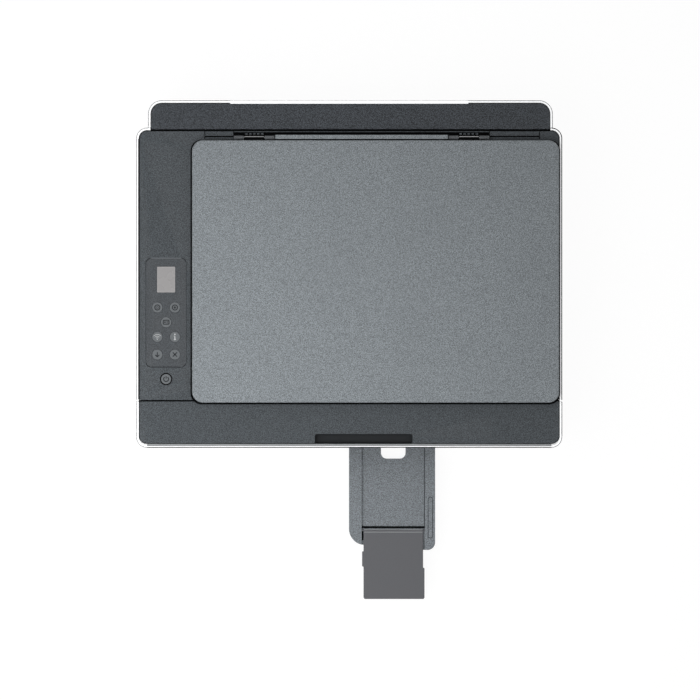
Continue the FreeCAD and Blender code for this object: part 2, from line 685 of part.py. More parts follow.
casing_ring = cut(
    "casing_ring",
    slab("casing_block", casing_x, casing_y, (pan_top, deck_top), s.casing_corner, s.casing_edge),
    slab("casing_hollow", inner_x, inner_y, (pan_top - OVER, deck_top + OVER), inner_corner),
)


def build_base():
    pan_hollow = slab("pan_hollow", inner_x, inner_y, (pan_floor, pan_top + OVER), inner_corner)
    pan_z = (pan_bottom, pan_top)
    pan_block = slab("pan_block", casing_x, casing_y, pan_z, s.casing_corner, bottom_round=s.pan_edge)
    node("base_pan", cut("base_pan", pan_block, pan_hollow))
    foot_xs = inset(casing_x, s.foot_inset)
    foot_ys = inset(casing_y, s.foot_inset)
    feet = []
    screws = []
    for column, x in enumerate(foot_xs):
        for row, y in enumerate(foot_ys):
            name = f"{column}{row}"
            feet.append(rod("foot_" + name, "z", (0, s.foot_height), (x, y), s.foot_radius))
            beside = y + 2 * s.foot_radius
            height = (pan_bottom - s.screw_radius / 2, pan_bottom)
            screws.append(rod("screw_" + name, "z", height, (x, beside), s.screw_radius))
    node("rubber_feet", group("rubber_feet", *feet))
    node("casing_screws", group("casing_screws", *screws))


def build_casing():
    fascia_y = (front - OVER, deck_front - s.panel_gap)
    lower_front = box("fascia_zone", wide_x, fascia_y, (pan_top, fascia_top))
    through = (front - OVER, inner_y[0] + OVER)
    slot = box("slot_cut", path_x, through, (slot_bottom, slot_top))
    channel = box("fascia_channel", channel_x, through, (channel_bottom, slot_bottom + OVER))
    fascia = common("fascia_band", casing_ring, lower_front)
    node("front_fascia", cut("front_fascia", fascia, slot, channel))
    cover_y = (deck_front, casing_rear + OVER)
    cover_z = (pan_top, deck_top)
    sides = (("left", (wide_x[0], window_x[0])), ("right", (window_x[1], wide_x[1])))
    for name, x in sides:
        band = common(name + "_band", casing_ring, box(name + "_zone", x, cover_y, cover_z))
        under_deck = box(
            name + "_rim_cut",
            inset(cap_x, -s.slide_gap),
            (inner_y[1] - OVER, casing_rear + OVER),
            (deck_bottom - s.rim_drop, deck_top + OVER),
        )
        node(name + "_side_cover", cut(name + "_side_cover", band, under_deck))


# Rear sockets
port_bottom = pan_top + s.port_rise
port_y = (rear - s.port_depth, rear - s.casing_wall / 2)
inlet_x = about(-side + s.inlet_left, s.inlet_width)
inlet_z = (port_bottom, port_bottom + s.inlet_height)
socket_x = about(side - s.socket_right, s.socket_width)
socket_z = (port_bottom, port_bottom + s.socket_height)


def build_rear_cover():
    long_y = (casing_rear - 2 * s.housing_corner, rear)
    housing_z = (pan_top, deck_top - s.housing_drop)
    outer = slab("housing_block", housing_x, long_y, housing_z, s.housing_corner, s.casing_edge, s.pan_edge)
    hollow = slab(
        "housing_hollow",
        inset(housing_x, s.casing_wall),
        inset(long_y, s.casing_wall),
        (pan_top + s.casing_wall, deck_top),
        s.housing_corner - s.casing_wall,
    )
    before = box("housing_front", wide_x, (long_y[0] - OVER, casing_rear), (pan_top - OVER, deck_top))
    wall_y = (rear - s.casing_wall - OVER, rear + OVER)
    inlet_hole = box("inlet_hole", inlet_x, wall_y, inlet_z)
    socket_hole = box("socket_hole", socket_x, wall_y, socket_z)
    node("rear_cover", cut("rear_cover", outer, hollow, before, inlet_hole, socket_hole))
    build_socket("power_inlet", inlet_x, inlet_z, s.inlet_mouth)
    build_socket("data_socket", socket_x, socket_z, s.socket_mouth)


def build_socket(name, x, z, depth):
    """A socket body in the rear wall, open to the rear."""
    shell = box(name + "_block", x, port_y, z)
    mouth_y = (port_y[1] - depth, port_y[1] + OVER)
    mouth = box(name + "_mouth", inset(x, s.port_wall), mouth_y, inset(z, s.port_wall))
    node(name, cut(name, shell, mouth))


def build_paper_chute():
    length = (cap_bottom - s.chute_top_gap - foot_z) / lean_cosine
    face = slope_block("chute_face", chute_x, (0, length), (-s.chute_thickness, 0))
    rib = s.chute_thickness + s.support_thickness + 2 * s.slide_gap
    webs = [
        slope_block("chute_web_left", (chute_x[0], path_x[0]), (0, length), (-rib, 0)),
        slope_block("chute_web_right", (path_x[1], chute_x[1]), (0, length), (-rib, 0)),
    ]
    ramp_y = (feed_y + s.roller_radius + s.inner_gap, foot_y + s.chute_thickness / 2)
    ramp = box("chute_ramp", chute_x, ramp_y, (foot_z - s.chute_thickness, foot_z))
    leg_y = (bar_y[1] + s.roller_radius, foot_y - s.chute_leg_back)
    legs = [
        box("chute_leg_left", (chute_x[0], path_x[0]), leg_y, (pan_floor, foot_z)),
        box("chute_leg_right", (path_x[1], chute_x[1]), leg_y, (pan_floor, foot_z)),
    ]
    node("paper_chute", fuse("paper_chute", face, ramp, *webs, *legs))


def build_paper_support():
    cap_corner = s.housing_corner - s.casing_wall
    cap_corners = (s.small_corner, s.small_corner, cap_corner, cap_corner)
    cap = slab("support_cap", cap_x, cap_y, (cap_bottom, deck_top), cap_corners, s.panel_edge)
    top = (cap_bottom + s.support_cap_height / 2 - foot_z) / lean_cosine
    behind = -s.chute_thickness - s.slide_gap
    panel = slope_block(
        "support_panel",
        inset(path_x, s.slide_gap),
        (top - s.support_length, top),
        (behind - s.support_thickness, behind),
    )
    node("paper_support", fuse("paper_support", cap, panel))


def build_paper_guides():
    low = pick_along + (s.pick_radius + s.inner_gap) / lean_cosine
    along = (low, low + s.guide_length)
    left, right = about(paper_middle, s.paper_width + s.sheet_play)
    outer_left = left - s.guide_thickness
    outer_right = right + s.guide_thickness
    limits = (
        ("left", (outer_left, left), (outer_left, left + s.guide_foot_width)),
        ("right", (right, outer_right), (right - s.guide_foot_width, outer_right)),
    )
    foot_out = (s.slide_gap, s.slide_gap + s.guide_foot_height)
    for name, wall_x, foot_x in limits:
        wall = slope_block(name + "_guide_wall", wall_x, along, (s.slide_gap, s.guide_height))
        foot = slope_block(name + "_guide_foot", foot_x, along, foot_out)
        node(name + "_paper_guide", fuse(name + "_paper_guide", wall, foot))


def build_chassis():
    plate_y = (discharge_y - s.plate_front, inner_y[1] - s.plate_rear_gap)
    plate_z = (pan_floor, scanner_bottom)
    plates = [
        box("left_plate", left_plate_x, plate_y, plate_z),
        box("right_plate", right_plate_x, plate_y, plate_z),
    ]
    bar = box("cross_bar", (left_plate_x[0], right_plate_x[1]), bar_y, (pan_floor, pan_floor + s.bar_height))
    hole_x = (left_plate_x[0] - OVER, right_plate_x[1] + OVER)
    bore = s.shaft_radius + s.shaft_clearance
    holes = [rod(f"shaft_hole_{index}", "x", hole_x, centre, bore) for index, centre in enumerate(shafts)]
    motor_hole = (right_plate_x[0] - OVER, right_plate_x[1] + OVER)
    holes.append(rod("motor_hole", "x", motor_hole, (motor_y, motor_z), s.shaft_radius + s.slide_gap))
    node("chassis", cut("chassis", fuse("chassis_sheets", *plates, bar), *holes))


DISCHARGE_TYRES = 5
PICK_TYRES = 2


def tyre_spans(count, width):
    """Where a roller's tyres sit along x, spread over the sheet."""
    pitch = s.paper_width / (count + 1)
    middles = [paper_middle + pitch * (index - (count - 1) / 2) for index in range(count)]
    return [about(middle, width) for middle in middles]


def build_rollers():
    shaft_x = (left_plate_x[0] - s.shaft_end, pulley_x[1])
    between = (left_plate_x[1] + s.slide_gap, right_plate_x[0] - s.slide_gap)
    tyres = (
        ("discharge_roller", tyre_spans(DISCHARGE_TYRES, s.discharge_tyre_width), s.roller_radius),
        ("feed_roller", [between], s.roller_radius),
        ("pick_roller", tyre_spans(PICK_TYRES, s.pick_tyre_width), s.pick_radius),
    )
    for (name, spans, radius), centre in zip(tyres, shafts):
        pieces = [
            rod(name + "_shaft", "x", shaft_x, centre, s.shaft_radius),
            rod(name + "_pulley", "x", pulley_x, centre, s.pulley_radius),
        ]
        for index, span in enumerate(spans):
            pieces.append(rod(f"{name}_tyre_{index}", "x", span, centre, radius))
        node(name, fuse(name, *pieces))


def build_drive():
    centre = (motor_y, motor_z)
    motor_x = (right_plate_x[0] - s.motor_length, right_plate_x[0])
    case = rod("feed_motor_case", "x", motor_x, centre, s.motor_radius)
    bearing = rod(
        "feed_motor_bore",
        "x",
        (motor_x[1] - s.pulley_width, motor_x[1] + OVER),
        centre,
        s.spindle_radius + s.shaft_clearance,
    )
    node("feed_motor", cut("feed_motor", case, bearing))
    pulley = rod("motor_pulley_wheel", "x", pulley_x, centre, s.pulley_radius)
    shaft_x = (motor_x[1] - s.pulley_width + s.lap, pulley_x[1])
    shaft = rod("motor_pulley_shaft", "x", shaft_x, centre, s.spindle_radius)
    node("motor_pulley", fuse("motor_pulley", pulley, shaft))
    around = shafts + [centre]
    inner_radius = s.pulley_radius + s.slide_gap
    node("drive_belt", belt("drive_belt", around, inner_radius, s.belt_thickness, pulley_x))


def stadium(name, ends, y, z, radius):
    """A long round-ended bar along x, seen from the front."""
    middle = box(name + "_middle", ends, y, (z - radius, z + radius))
    rounds = [rod(f"{name}_end_{index}", "y", y, (x, z), radius) for index, x in enumerate(ends)]
    return fuse(name, middle, *rounds)


def build_carriage():
    outer = stadium("belt_outer", belt_ends, belt_y, belt_z, belt_radius + s.belt_thickness)
    inner = stadium("belt_inner", belt_ends, inset(belt_y, -OVER), belt_z, belt_radius)
    node("carriage_belt", cut("carriage_belt", outer, inner))
    wall = box("rail_wall", rail_x, rail_y, (rail_bottom, rail_top))
    motor_front = belt_y[1] + s.motor_gap
    shelf_y = (rail_y[0], motor_front + s.motor_length)
    shelf_top = belt_z - s.motor_radius - s.seat_gap
    shelf_x = (belt_ends[1] - s.motor_radius, rail_x[1])
    shelf = box("rail_shelf", shelf_x, shelf_y, (shelf_top - s.rail_thickness, shelf_top))
    flange_z = (rail_bottom, rail_bottom + s.rail_thickness)
    flange = box("rail_flange", rail_x, (rail_y[0], belt_y[1]), flange_z)
    boss_y = (rail_y[1] - s.lap, belt_y[1])
    boss = rod("rail_boss", "y", boss_y, (belt_ends[0], belt_z), belt_radius - s.slide_gap)
    riser = box("rail_riser", shelf_x, rail_y, (shelf_top - s.rail_thickness, rail_top))
    node("carriage_rail", fuse("carriage_rail", wall, riser, shelf, flange, boss))
    motor_centre = (belt_ends[1], belt_z)
    case = rod("carriage_motor_case", "y", (motor_front, shelf_y[1]), motor_centre, s.motor_radius)
    wheel_y = (belt_y[0], motor_front + s.lap)
    wheel = rod("carriage_motor_wheel", "y", wheel_y, motor_centre, belt_radius - s.slide_gap)
    node("carriage_motor", fuse("carriage_motor", case, wheel))
    build_print_carriage()


def build_print_carriage():
    bottom = path_top + s.head_gap
    top = rail_top - s.carriage_drop
    floor = bottom + s.head_height
    hook_z = (rail_top + s.slide_gap, rail_top + s.slide_gap + s.hook_thickness)
    behind = rail_y[1] + s.slide_gap
    neck_y = (carriage_y[1] - s.hook_thickness, carriage_y[1])
    lip_y = (behind, behind + s.hook_thickness)
    tray = box("carriage_tray", carriage_x, carriage_y, (floor, top))
    heads_x = inset(carriage_x, s.head_margin_x)
    heads_y = inset(carriage_y, s.head_margin_y)
    heads = box("carriage_heads", heads_x, heads_y, (bottom, floor + s.lap))
    neck = box("carriage_neck", carriage_x, neck_y, (top - s.lap, hook_z[1]))
    hook = box("carriage_hook", carriage_x, (neck_y[0], lip_y[1]), hook_z)
    lip = box("carriage_lip", carriage_x, lip_y, (rail_top - s.hook_drop, hook_z[1]))
    grip_z = (belt_z + belt_radius + s.belt_thickness + s.slide_gap, rail_top - s.hook_drop / 2)
    grip_x = inset(carriage_x, s.carriage_width / 3)
    grip = box("carriage_grip", grip_x, (behind, belt_y[1]), grip_z)
    pocket_row = inset(carriage_x, s.carriage_wall)
    rib_x = about(carriage_x[0] + s.carriage_width / 2, s.carriage_rib)
    pocket_y = inset(carriage_y, s.carriage_wall)
    pocket_z = (floor + s.carriage_floor, top + OVER)
    pockets = [
        box("carriage_pocket_left", (pocket_row[0], rib_x[0]), pocket_y, pocket_z),
        box("carriage_pocket_right", (rib_x[1], pocket_row[1]), pocket_y, pocket_z),
    ]
    solid = fuse("carriage_block", tray, heads, neck, hook, lip, grip)
    node("print_carriage", cut("print_carriage", solid, *pockets))


PLATEN_RIBS = 11


def build_print_bed():
    plate_x = (path_x[0] - s.platen_leg, right_plate_x[0])
    plate_top = path_top - s.rib_height
    leg_z = (pan_floor, plate_top)
    plate = box("platen_plate", plate_x, platen_y, (plate_top - s.platen_thickness, plate_top))
    left_leg = box("platen_leg", (plate_x[0], path_x[0]), platen_y, leg_z)
    right_leg = box("platen_leg_right", (path_x[1] + s.platen_right_gap, plate_x[1]), platen_y, leg_z)
    ribbed_y = inset(platen_y, s.rib_margin)
    pitch = s.paper_width / PLATEN_RIBS
    ribs = []
    for index in range(PLATEN_RIBS):
        middle = paper_middle + pitch * (index - (PLATEN_RIBS - 1) / 2)
        rib_x = about(middle, s.rib_width)
        ribs.append(box(f"platen_rib_{index}", rib_x, ribbed_y, (plate_top - s.lap, path_top)))
    node("platen", fuse("platen", plate, left_leg, right_leg, *ribs))
    station_x = (left_plate_x[1] + s.station_side_gap, plate_x[0] - s.station_gap)
    station_top = path_top - s.station_drop
    station = box("station_block", station_x, ribbed_y, (pan_floor, station_top))
    pads_y = inset(carriage_y, s.pad_margin)
    pads_z = (station_top - s.lap, path_top + s.head_gap - s.slide_gap)
    pads = []
    for index in (1, 2):
        middle = carriage_x[0] + s.carriage_width * index / 3
        pads.append(box(f"station_pad_{index}", about(middle, s.pad_width), pads_y, pads_z))
    node("service_station", fuse("service_station", station, *pads))


MAIN_BOARD_CHIPS = 3


def build_electronics():
    supply_x = (left_plate_x[1] + s.inner_gap, path_x[0] - s.supply_gap)
    supply_y = (feed_y + s.supply_back, inner_y[1] - s.supply_rear_gap)
    supply = box("supply_case", supply_x, supply_y, (pan_floor, pan_floor + s.supply_height))
    node("power_supply", supply)
    board_left = inner_x[1] - s.main_board_gap
    board_x = (board_left, board_left + s.board_thickness)
    board_y = (platen_y[0], platen_y[0] + s.main_board_length)
    board = box("main_board_sheet", board_x, board_y, (pan_floor, scanner_bottom - s.main_board_drop))
    chip_x = (board_left, board_x[1] + s.chip_height)
    chip_z = (pan_floor + s.chip_rise, pan_floor + s.chip_rise + s.chip_size)
    chips = []
    for index in range(MAIN_BOARD_CHIPS):
        chip_front = board_y[0] + s.chip_first + s.chip_pitch * index
        chip_y = (chip_front, chip_front + s.chip_size)
        chips.append(box(f"main_board_chip_{index}", chip_x, chip_y, chip_z))
    node("main_board", fuse("main_board", board, *chips))


def key_places():
    """Name and middle of each key of the overlay, in rows from the rear."""
    left = panel_middle - s.key_column_pitch / 2
    right = panel_middle + s.key_column_pitch / 2
    first = panel_y[1] - s.key_first_row
    second = first - s.key_row_pitch
    third = second - s.key_row_pitch
    fourth = third - s.key_last_row_pitch
    return (
        ("mono_copy_key", left, first),
        ("colour_copy_key", right, first),
        ("card_copy_key", panel_middle, second),
        ("wireless_key", left, third),
        ("info_key", right, third),
        ("resume_key", left, fourth),
        ("cancel_key", right, fourth),
    )


power_key_y = panel_y[0] - s.power_key_front
board_top = deck_bottom - s.board_drop
control_board_x = inset(panel_x, s.seam_corner)
control_board_y = (power_key_y - s.board_front, panel_y[1] - s.board_margin)
display_x = about(panel_middle, s.display_width)
display_y = (panel_y[1] - s.display_margin - s.display_depth, panel_y[1] - s.display_margin)
overlay_z = (deck_top - s.panel_thickness, deck_top)


def build_key(name, x, y, radius, travel):
    flange_z = (deck_bottom - s.slide_gap - s.key_flange, deck_bottom - s.slide_gap)
    flange_radius = radius + s.power_key_gap + s.key_flange_margin
    cap = rod(name + "_cap", "z", (flange_z[0], deck_top + s.key_proud), (x, y), radius)
    flange = rod(name + "_flange", "z", flange_z, (x, y), flange_radius)
    stem_z = (board_top + travel + s.slide_gap, flange_z[0] + s.lap)
    stem = rod(name + "_stem", "z", stem_z, (x, y), radius / 2)
    node(name, fuse(name, cap, flange, stem))


def build_control_panel():
    keys = key_places()
    for name, x, y in keys:
        build_key(name, x, y, s.key_radius, s.key_travel)
    build_key("power_key", panel_middle, power_key_y, s.power_key_radius, s.power_key_travel)
    overlay = slab("overlay_sheet", panel_x, panel_y, overlay_z, s.panel_corner)
    tall = inset(overlay_z, -OVER)
    bore = s.key_radius + s.panel_gap
    holes = [rod(name + "_overlay_hole", "z", tall, (x, y), bore) for name, x, y in keys]
    frame_x = inset(display_x, -s.panel_gap / 2)
    frame_y = inset(display_y, -s.panel_gap / 2)
    holes.append(slab("display_hole", frame_x, frame_y, tall, s.display_corner + s.panel_gap / 2))
    node("control_overlay", cut("control_overlay", overlay, *holes))
    node("display_window", slab("display_window", display_x, display_y, overlay_z, s.display_corner))
    board_z = (board_top - s.board_thickness, board_top)
    node("control_board", box("control_board", control_board_x, control_board_y, board_z))


def build_deck():
    deck_x = inset(inner_x, s.rim_gap)
    deck_y = (deck_front, inner_y[1] - s.rim_gap)
    corners = (s.seam_corner, s.seam_corner, deck_corner, deck_corner)
    deck_z = (deck_bottom, deck_top)
    plate = slab("deck_plate", deck_x, deck_y, deck_z, corners)
    channel_y = (lid_y[1] + s.channel_gap, deck_y[1] - s.channel_ridge)
    hinge_room = hinge_half + s.hinge_knuckle_width
    hinge_span = (hinge_xs[0] - hinge_room, hinge_xs[1] + hinge_room)
    channel_z = (deck_top - s.channel_depth, deck_top + OVER)
    channel = box("hinge_channel", hinge_span, channel_y, channel_z)
    channelled = cut("deck_channelled", plate, channel)
    knuckles = []
    holes = []
    arms = []
    pins = []
    bore = s.hinge_pin_radius + s.shaft_clearance
    centre = (hinge_y, hinge_z)
    inner = hinge_half + s.slide_gap
    outer = hinge_half + s.hinge_knuckle_width
    base_y = (hinge_y - s.hinge_knuckle_radius, hinge_y + s.hinge_knuckle_radius - s.knuckle_setback)
    arm_z = (hinge_z - s.hinge_pin_radius, hinge_z + s.hinge_knuckle_radius)
    for index, middle in enumerate(hinge_xs):
        pin_x = about(middle, 2 * outer)
        for sign, x in ((0, (middle - outer, middle - inner)), (1, (middle + inner, middle + outer))):
            tag = f"{index}{sign}"
            round_top = rod("knuckle_" + tag, "x", x, centre, s.hinge_knuckle_radius)
            base = box("knuckle_base_" + tag, x, base_y, (deck_bottom + s.lap, hinge_z))
            knuckles.extend((round_top, base))
        holes.append(rod(f"knuckle_hole_{index}", "x", inset(pin_x, -OVER), centre, bore))
        pins.append(rod(f"hinge_pin_{index}", "x", pin_x, centre, s.hinge_pin_radius))
        clip_x = about(middle, s.hinge_clip_width)
        barrel = rod(f"arm_barrel_{index}", "x", clip_x, centre, s.hinge_knuckle_radius)
        arm = box(f"arm_bar_{index}", clip_x, (lid_y[1], hinge_y), arm_z)
        arm_hole = rod(f"arm_hole_{index}", "x", inset(clip_x, -OVER), centre, bore)
        arms.append(cut(f"lid_arm_{index}", fuse(f"arm_block_{index}", barrel, arm), arm_hole))
    node("lid_hinge_pins", group("lid_hinge_pins", *pins))
    node("lid_hinge_arms", group("lid_hinge_arms", *arms))
    gap = s.panel_gap
    tall = (deck_bottom - OVER, deck_top + OVER)
    holes.append(box("glass_hole", inset(glass_x, -gap), inset(glass_y, -gap), tall))
    recess_x = inset(panel_x, -gap)
    recess_y = inset(panel_y, -gap)
    recess_z = (deck_top - s.panel_thickness, deck_top + OVER)
    recess = slab("overlay_recess", recess_x, recess_y, recess_z, s.panel_corner + gap)
    for name, x, y in key_places():
        holes.append(rod(name + "_hole", "z", tall, (x, y), s.key_radius + gap))
    power_bore = s.power_key_radius + s.power_key_gap
    holes.append(rod("power_key_hole", "z", tall, (panel_middle, power_key_y), power_bore))
    deck = fuse("deck_solid", channelled, *knuckles)
    node("scanner_deck", cut("scanner_deck", deck, recess, *holes))
    node("scan_glass", box("scan_glass", glass_x, glass_y, (deck_bottom, deck_top - s.panel_gap)))


def build_scanner():
    base_x = inset(inner_x, s.panel_gap)
    base_y = (deck_front + s.panel_gap, inner_y[1] - s.panel_gap)
    base_z = (scanner_bottom, deck_bottom)
    corners = (s.seam_corner, s.seam_corner, base_corner, base_corner)
    floor = scanner_bottom + s.scanner_wall
    hollow_x = inset(base_x, s.scanner_wall)
    hollow_y = inset(base_y, s.scanner_wall)
    tub = cut(
        "scanner_tub",
        slab("scanner_block", base_x, base_y, base_z, corners),
        box("scanner_hollow", hollow_x, hollow_y, (floor, deck_bottom + OVER)),
    )
    ledge_x = inset(glass_x, s.glass_ledge)
    ledge_y = inset(glass_y, s.glass_ledge)
    ring_x = inset(glass_x, -s.scanner_wall)
    ring_y = inset(glass_y, -s.scanner_wall)
    ledge = cut(
        "scanner_ledge",
        box("ledge_block", ring_x, ring_y, (floor - s.lap, deck_bottom)),
        box("ledge_hollow", ledge_x, ledge_y, (floor - s.lap - OVER, deck_bottom + OVER)),
    )
    posts = []
    height = (floor - s.lap, board_top - s.board_thickness)
    for column, x in enumerate(inset(control_board_x, s.post_inset)):
        for row, y in enumerate(inset(control_board_y, s.post_inset)):
            posts.append(rod(f"board_post_{column}{row}", "z", height, (x, y), s.post_radius))
    node("scanner_base", fuse("scanner_base", tub, ledge, *posts))
    rod_y = lid_middle_y
    rod_z = floor + s.scan_rod_radius + s.inner_gap
    node("scan_rod", rod("scan_rod", "x", ledge_x, (rod_y, rod_z), s.scan_rod_radius))
    bar_left = ledge_x[0] + s.inner_gap
    bar_x = (bar_left, bar_left + s.scan_bar_width)
    bar_z = (rod_z + 2 * s.scan_rod_radius, deck_bottom - s.scan_gap)
    bar = box("scan_bar", bar_x, inset(ledge_y, s.inner_gap), bar_z)
    shoe_z = (floor + s.scan_gap, bar_z[0] + s.lap)
    shoe = box("scan_shoe", bar_x, about(rod_y, s.scan_shoe_depth), shoe_z)
    bore_radius = s.scan_rod_radius + s.shaft_clearance
    bore = rod("scan_bore", "x", inset(bar_x, -OVER), (rod_y, rod_z), bore_radius)
    node("scan_carriage", cut("scan_carriage", fuse("scan_block", bar, shoe), bore))


def build_lid():
    shell = slab("lid_block", lid_x, lid_y, (lid_bottom, lid_top), s.lid_corner, s.lid_edge)
    hollow_z = (lid_bottom - OVER, lid_bottom + s.lid_hollow)
    hollow_x = inset(lid_x, s.lid_wall)
    hollow_y = inset(lid_y, s.lid_wall)
    hollow = slab("lid_hollow", hollow_x, hollow_y, hollow_z, s.lid_corner - s.lid_wall)
    room = hinge_half + s.hinge_knuckle_width + s.hinge_side_gap
    bar_x = (hinge_xs[0] + room, hinge_xs[1] - room)
    bar_front = lid_y[1] + s.lid_bar_front
    bar_y = (bar_front, bar_front + s.lid_bar_depth)
    bar_bottom = lid_bottom + s.lid_bar_rise
    bar = box("lid_rear_bar", bar_x, bar_y, (bar_bottom, lid_top - s.lid_bar_drop))
    web_y = (lid_y[1] - s.lap, bar_y[1])
    web = box("lid_rear_web", bar_x, web_y, (bar_bottom, bar_bottom + s.lid_web))
    node("lid_shell", fuse("lid_shell", cut("lid_tray", shell, hollow), bar, web))
    pad_z = (lid_bottom - s.panel_gap, lid_bottom + s.lid_hollow)
    pad_x = inset(glass_x, s.lid_pad_margin)
    pad_y = inset(glass_y, s.lid_pad_margin)
    node("lid_pad", slab("lid_pad", pad_x, pad_y, pad_z, s.glass_ledge))


def build_door():
    door_z = (door_bottom, deck_top)
    zone = box("door_zone", wide_x, (front - OVER, door_rear), door_z)
    pane_left = -side + s.window_left
    pane_x = (pane_left, pane_left + s.window_width)
    pane_z = (door_bottom + s.window_rise, door_bottom + s.window_rise + s.window_height)
    hole = box("window_hole", pane_x, (front - OVER, inner_y[0] + OVER), pane_z)
    relief_y = (pivot_y - s.relief_front, door_rear + OVER)
    relief = box("door_relief", wide_x, relief_y, (door_bottom - OVER, door_bottom + s.door_seam / 2))
    skin = cut("door_skin", common("door_band", casing_ring, zone), hole, relief)
    lip_z = (deck_top - s.cup_drop, deck_top - s.lip_drop)
    lip_y = (inner_y[0] + s.lip_depth, inner_y[1])
    lap_x = inset(inner_x, -s.lap)
    lap_y = inset(inner_y, -s.lap)
    lap_corner = inner_corner + s.lap
    lip_zone = box("lip_zone", inner_x, (inner_y[0] - s.lap, inner_y[0] + s.casing_corner), lip_z)
    lip_ring = cut(
        "lip_ring",
        slab("lip_block", lap_x, lap_y, lip_z, lap_corner),
        slab("lip_hollow", inner_x, lip_y, inset(lip_z, -OVER), inner_corner),
    )
    lip = common("door_lip", lip_ring, lip_zone)
    cup_x = (-s.cup_left, s.cup_width - s.cup_left)
    cup_outer_x = inset(cup_x, -s.cup_wall)
    ledge_z = (deck_bottom - s.door_ledge_height, deck_bottom)
    ledge_in = s.door_gap + s.door_ledge
    ledge_y = (lip_y[0] + ledge_in, inner_y[1])
    ledge_zone = box("ledge_zone", inner_x, (inner_y[0] - s.lap, door_rear - s.door_ledge_end), ledge_z)
    ledge_gap_x = inset(cup_outer_x, -s.panel_gap)
    ledge_ring = cut(
        "door_ledge_ring",
        slab("door_ledge_block", lap_x, lap_y, ledge_z, lap_corner),
        slab("door_ledge_hollow", inset(inner_x, ledge_in), ledge_y, inset(ledge_z, -OVER), deck_corner),
        box("door_ledge_gap", ledge_gap_x, (lip_y[0], ledge_y[1]), inset(ledge_z, -OVER)),
    )
    ledge = common("door_ledge", ledge_ring, ledge_zone)
    stub = s.casing_wall + s.holder_gap + s.holder_wall - s.lap
    pins = [
        rod("door_pin_left", "x", (-side + OVER, -side + stub), (pivot_y, pivot_z), s.door_pin_radius),
        rod("door_pin_right", "x", (side - stub, side - OVER), (pivot_y, pivot_z), s.door_pin_radius),
    ]
    node("door_shell", fuse("door_shell", skin, lip, ledge, *pins))
    pane_y = (front + s.panel_gap, front + s.casing_wall)
    fit = s.panel_gap / 2
    node("ink_window", box("ink_window", inset(pane_x, fit), pane_y, inset(pane_z, fit)))
    plate_x = inset(inner_x, s.door_gap)
    plate_y = (lip_y[0] + s.door_gap, door_rear)
    plate_corner = inner_corner - s.door_gap
    corners = (plate_corner, plate_corner, s.seam_corner, s.seam_corner)
    plate = slab("door_plate", plate_x, plate_y, (deck_bottom, deck_top), corners)
    cup_rear = front + s.cup_front + s.cup_depth
    cup_z = (deck_top - s.cup_drop, deck_bottom + s.lap)
    cup_y = (lip_y[0] + s.panel_gap, cup_rear + s.cup_wall)
    cup = box("cup_block", cup_outer_x, cup_y, cup_z)
    hollow_z = (cup_z[0] + s.cup_wall, deck_top + OVER)
    hollow_corners = (s.seam_corner, s.seam_corner, s.cup_corner, s.cup_corner)
    hollow_y = (cup_y[0] - OVER - s.seam_corner, cup_rear)
    hollow = slab("cup_hollow", cup_x, hollow_y, hollow_z, hollow_corners)
    node("door_top", cut("door_top", fuse("door_top_block", plate, cup), hollow))


def tank_spans():
    widths = [s.black_tank_width] + [s.colour_tank_width] * (len(tank_names) - 1)
    left = inner_x[0] + s.tank_left
    spans = []
    for width in widths:
        spans.append((left, left + width))
        left = left + width + s.tank_gap
    return spans


def build_tanks():
    shelf_x = inset(inner_x, s.holder_gap)
    shelf_y = (inner_y[0] + s.holder_gap, tank_y[1] + s.holder_rear)
    shelf_z = (fascia_top - s.casing_wall, fascia_top)
    corners = (inner_corner, inner_corner, s.seam_corner, s.seam_corner)
    shelf = slab("holder_shelf", shelf_x, shelf_y, shelf_z, corners)
    ends = ((shelf_x[0], shelf_x[0] + s.holder_wall), (shelf_x[1] - s.holder_wall, shelf_x[1]))
    pieces = [shelf]
    bores = []
    knob = s.door_pivot_drop - s.deck_thickness - s.slide_gap
    post_y = (pivot_y - s.holder_post_front, pivot_y + knob)
    leg_y = (shelf_y[0] + inner_corner, shelf_y[1] - s.lap)
    bore = s.door_pin_radius + s.shaft_clearance
    for index, x in enumerate(ends):
        pieces.append(box(f"holder_leg_{index}", x, leg_y, (pan_floor, fascia_top)))
        pieces.append(box(f"holder_post_{index}", x, post_y, (fascia_top - s.lap, pivot_z)))
        pieces.append(rod(f"holder_knob_{index}", "x", x, (pivot_y, pivot_z), knob))
        bores.append(rod(f"holder_bore_{index}", "x", inset(x, -OVER), (pivot_y, pivot_z), bore))
    node("tank_holder", cut("tank_holder", fuse("holder_solid", *pieces), *bores))
    tanks = []
    for name, x in zip(tank_names, tank_spans()):
        middle = (x[0] + x[1]) / 2
        tanks.append(build_tank(name, x, middle))
        build_cap(name, middle)
    node("ink_tanks", group("ink_tanks", *tanks))


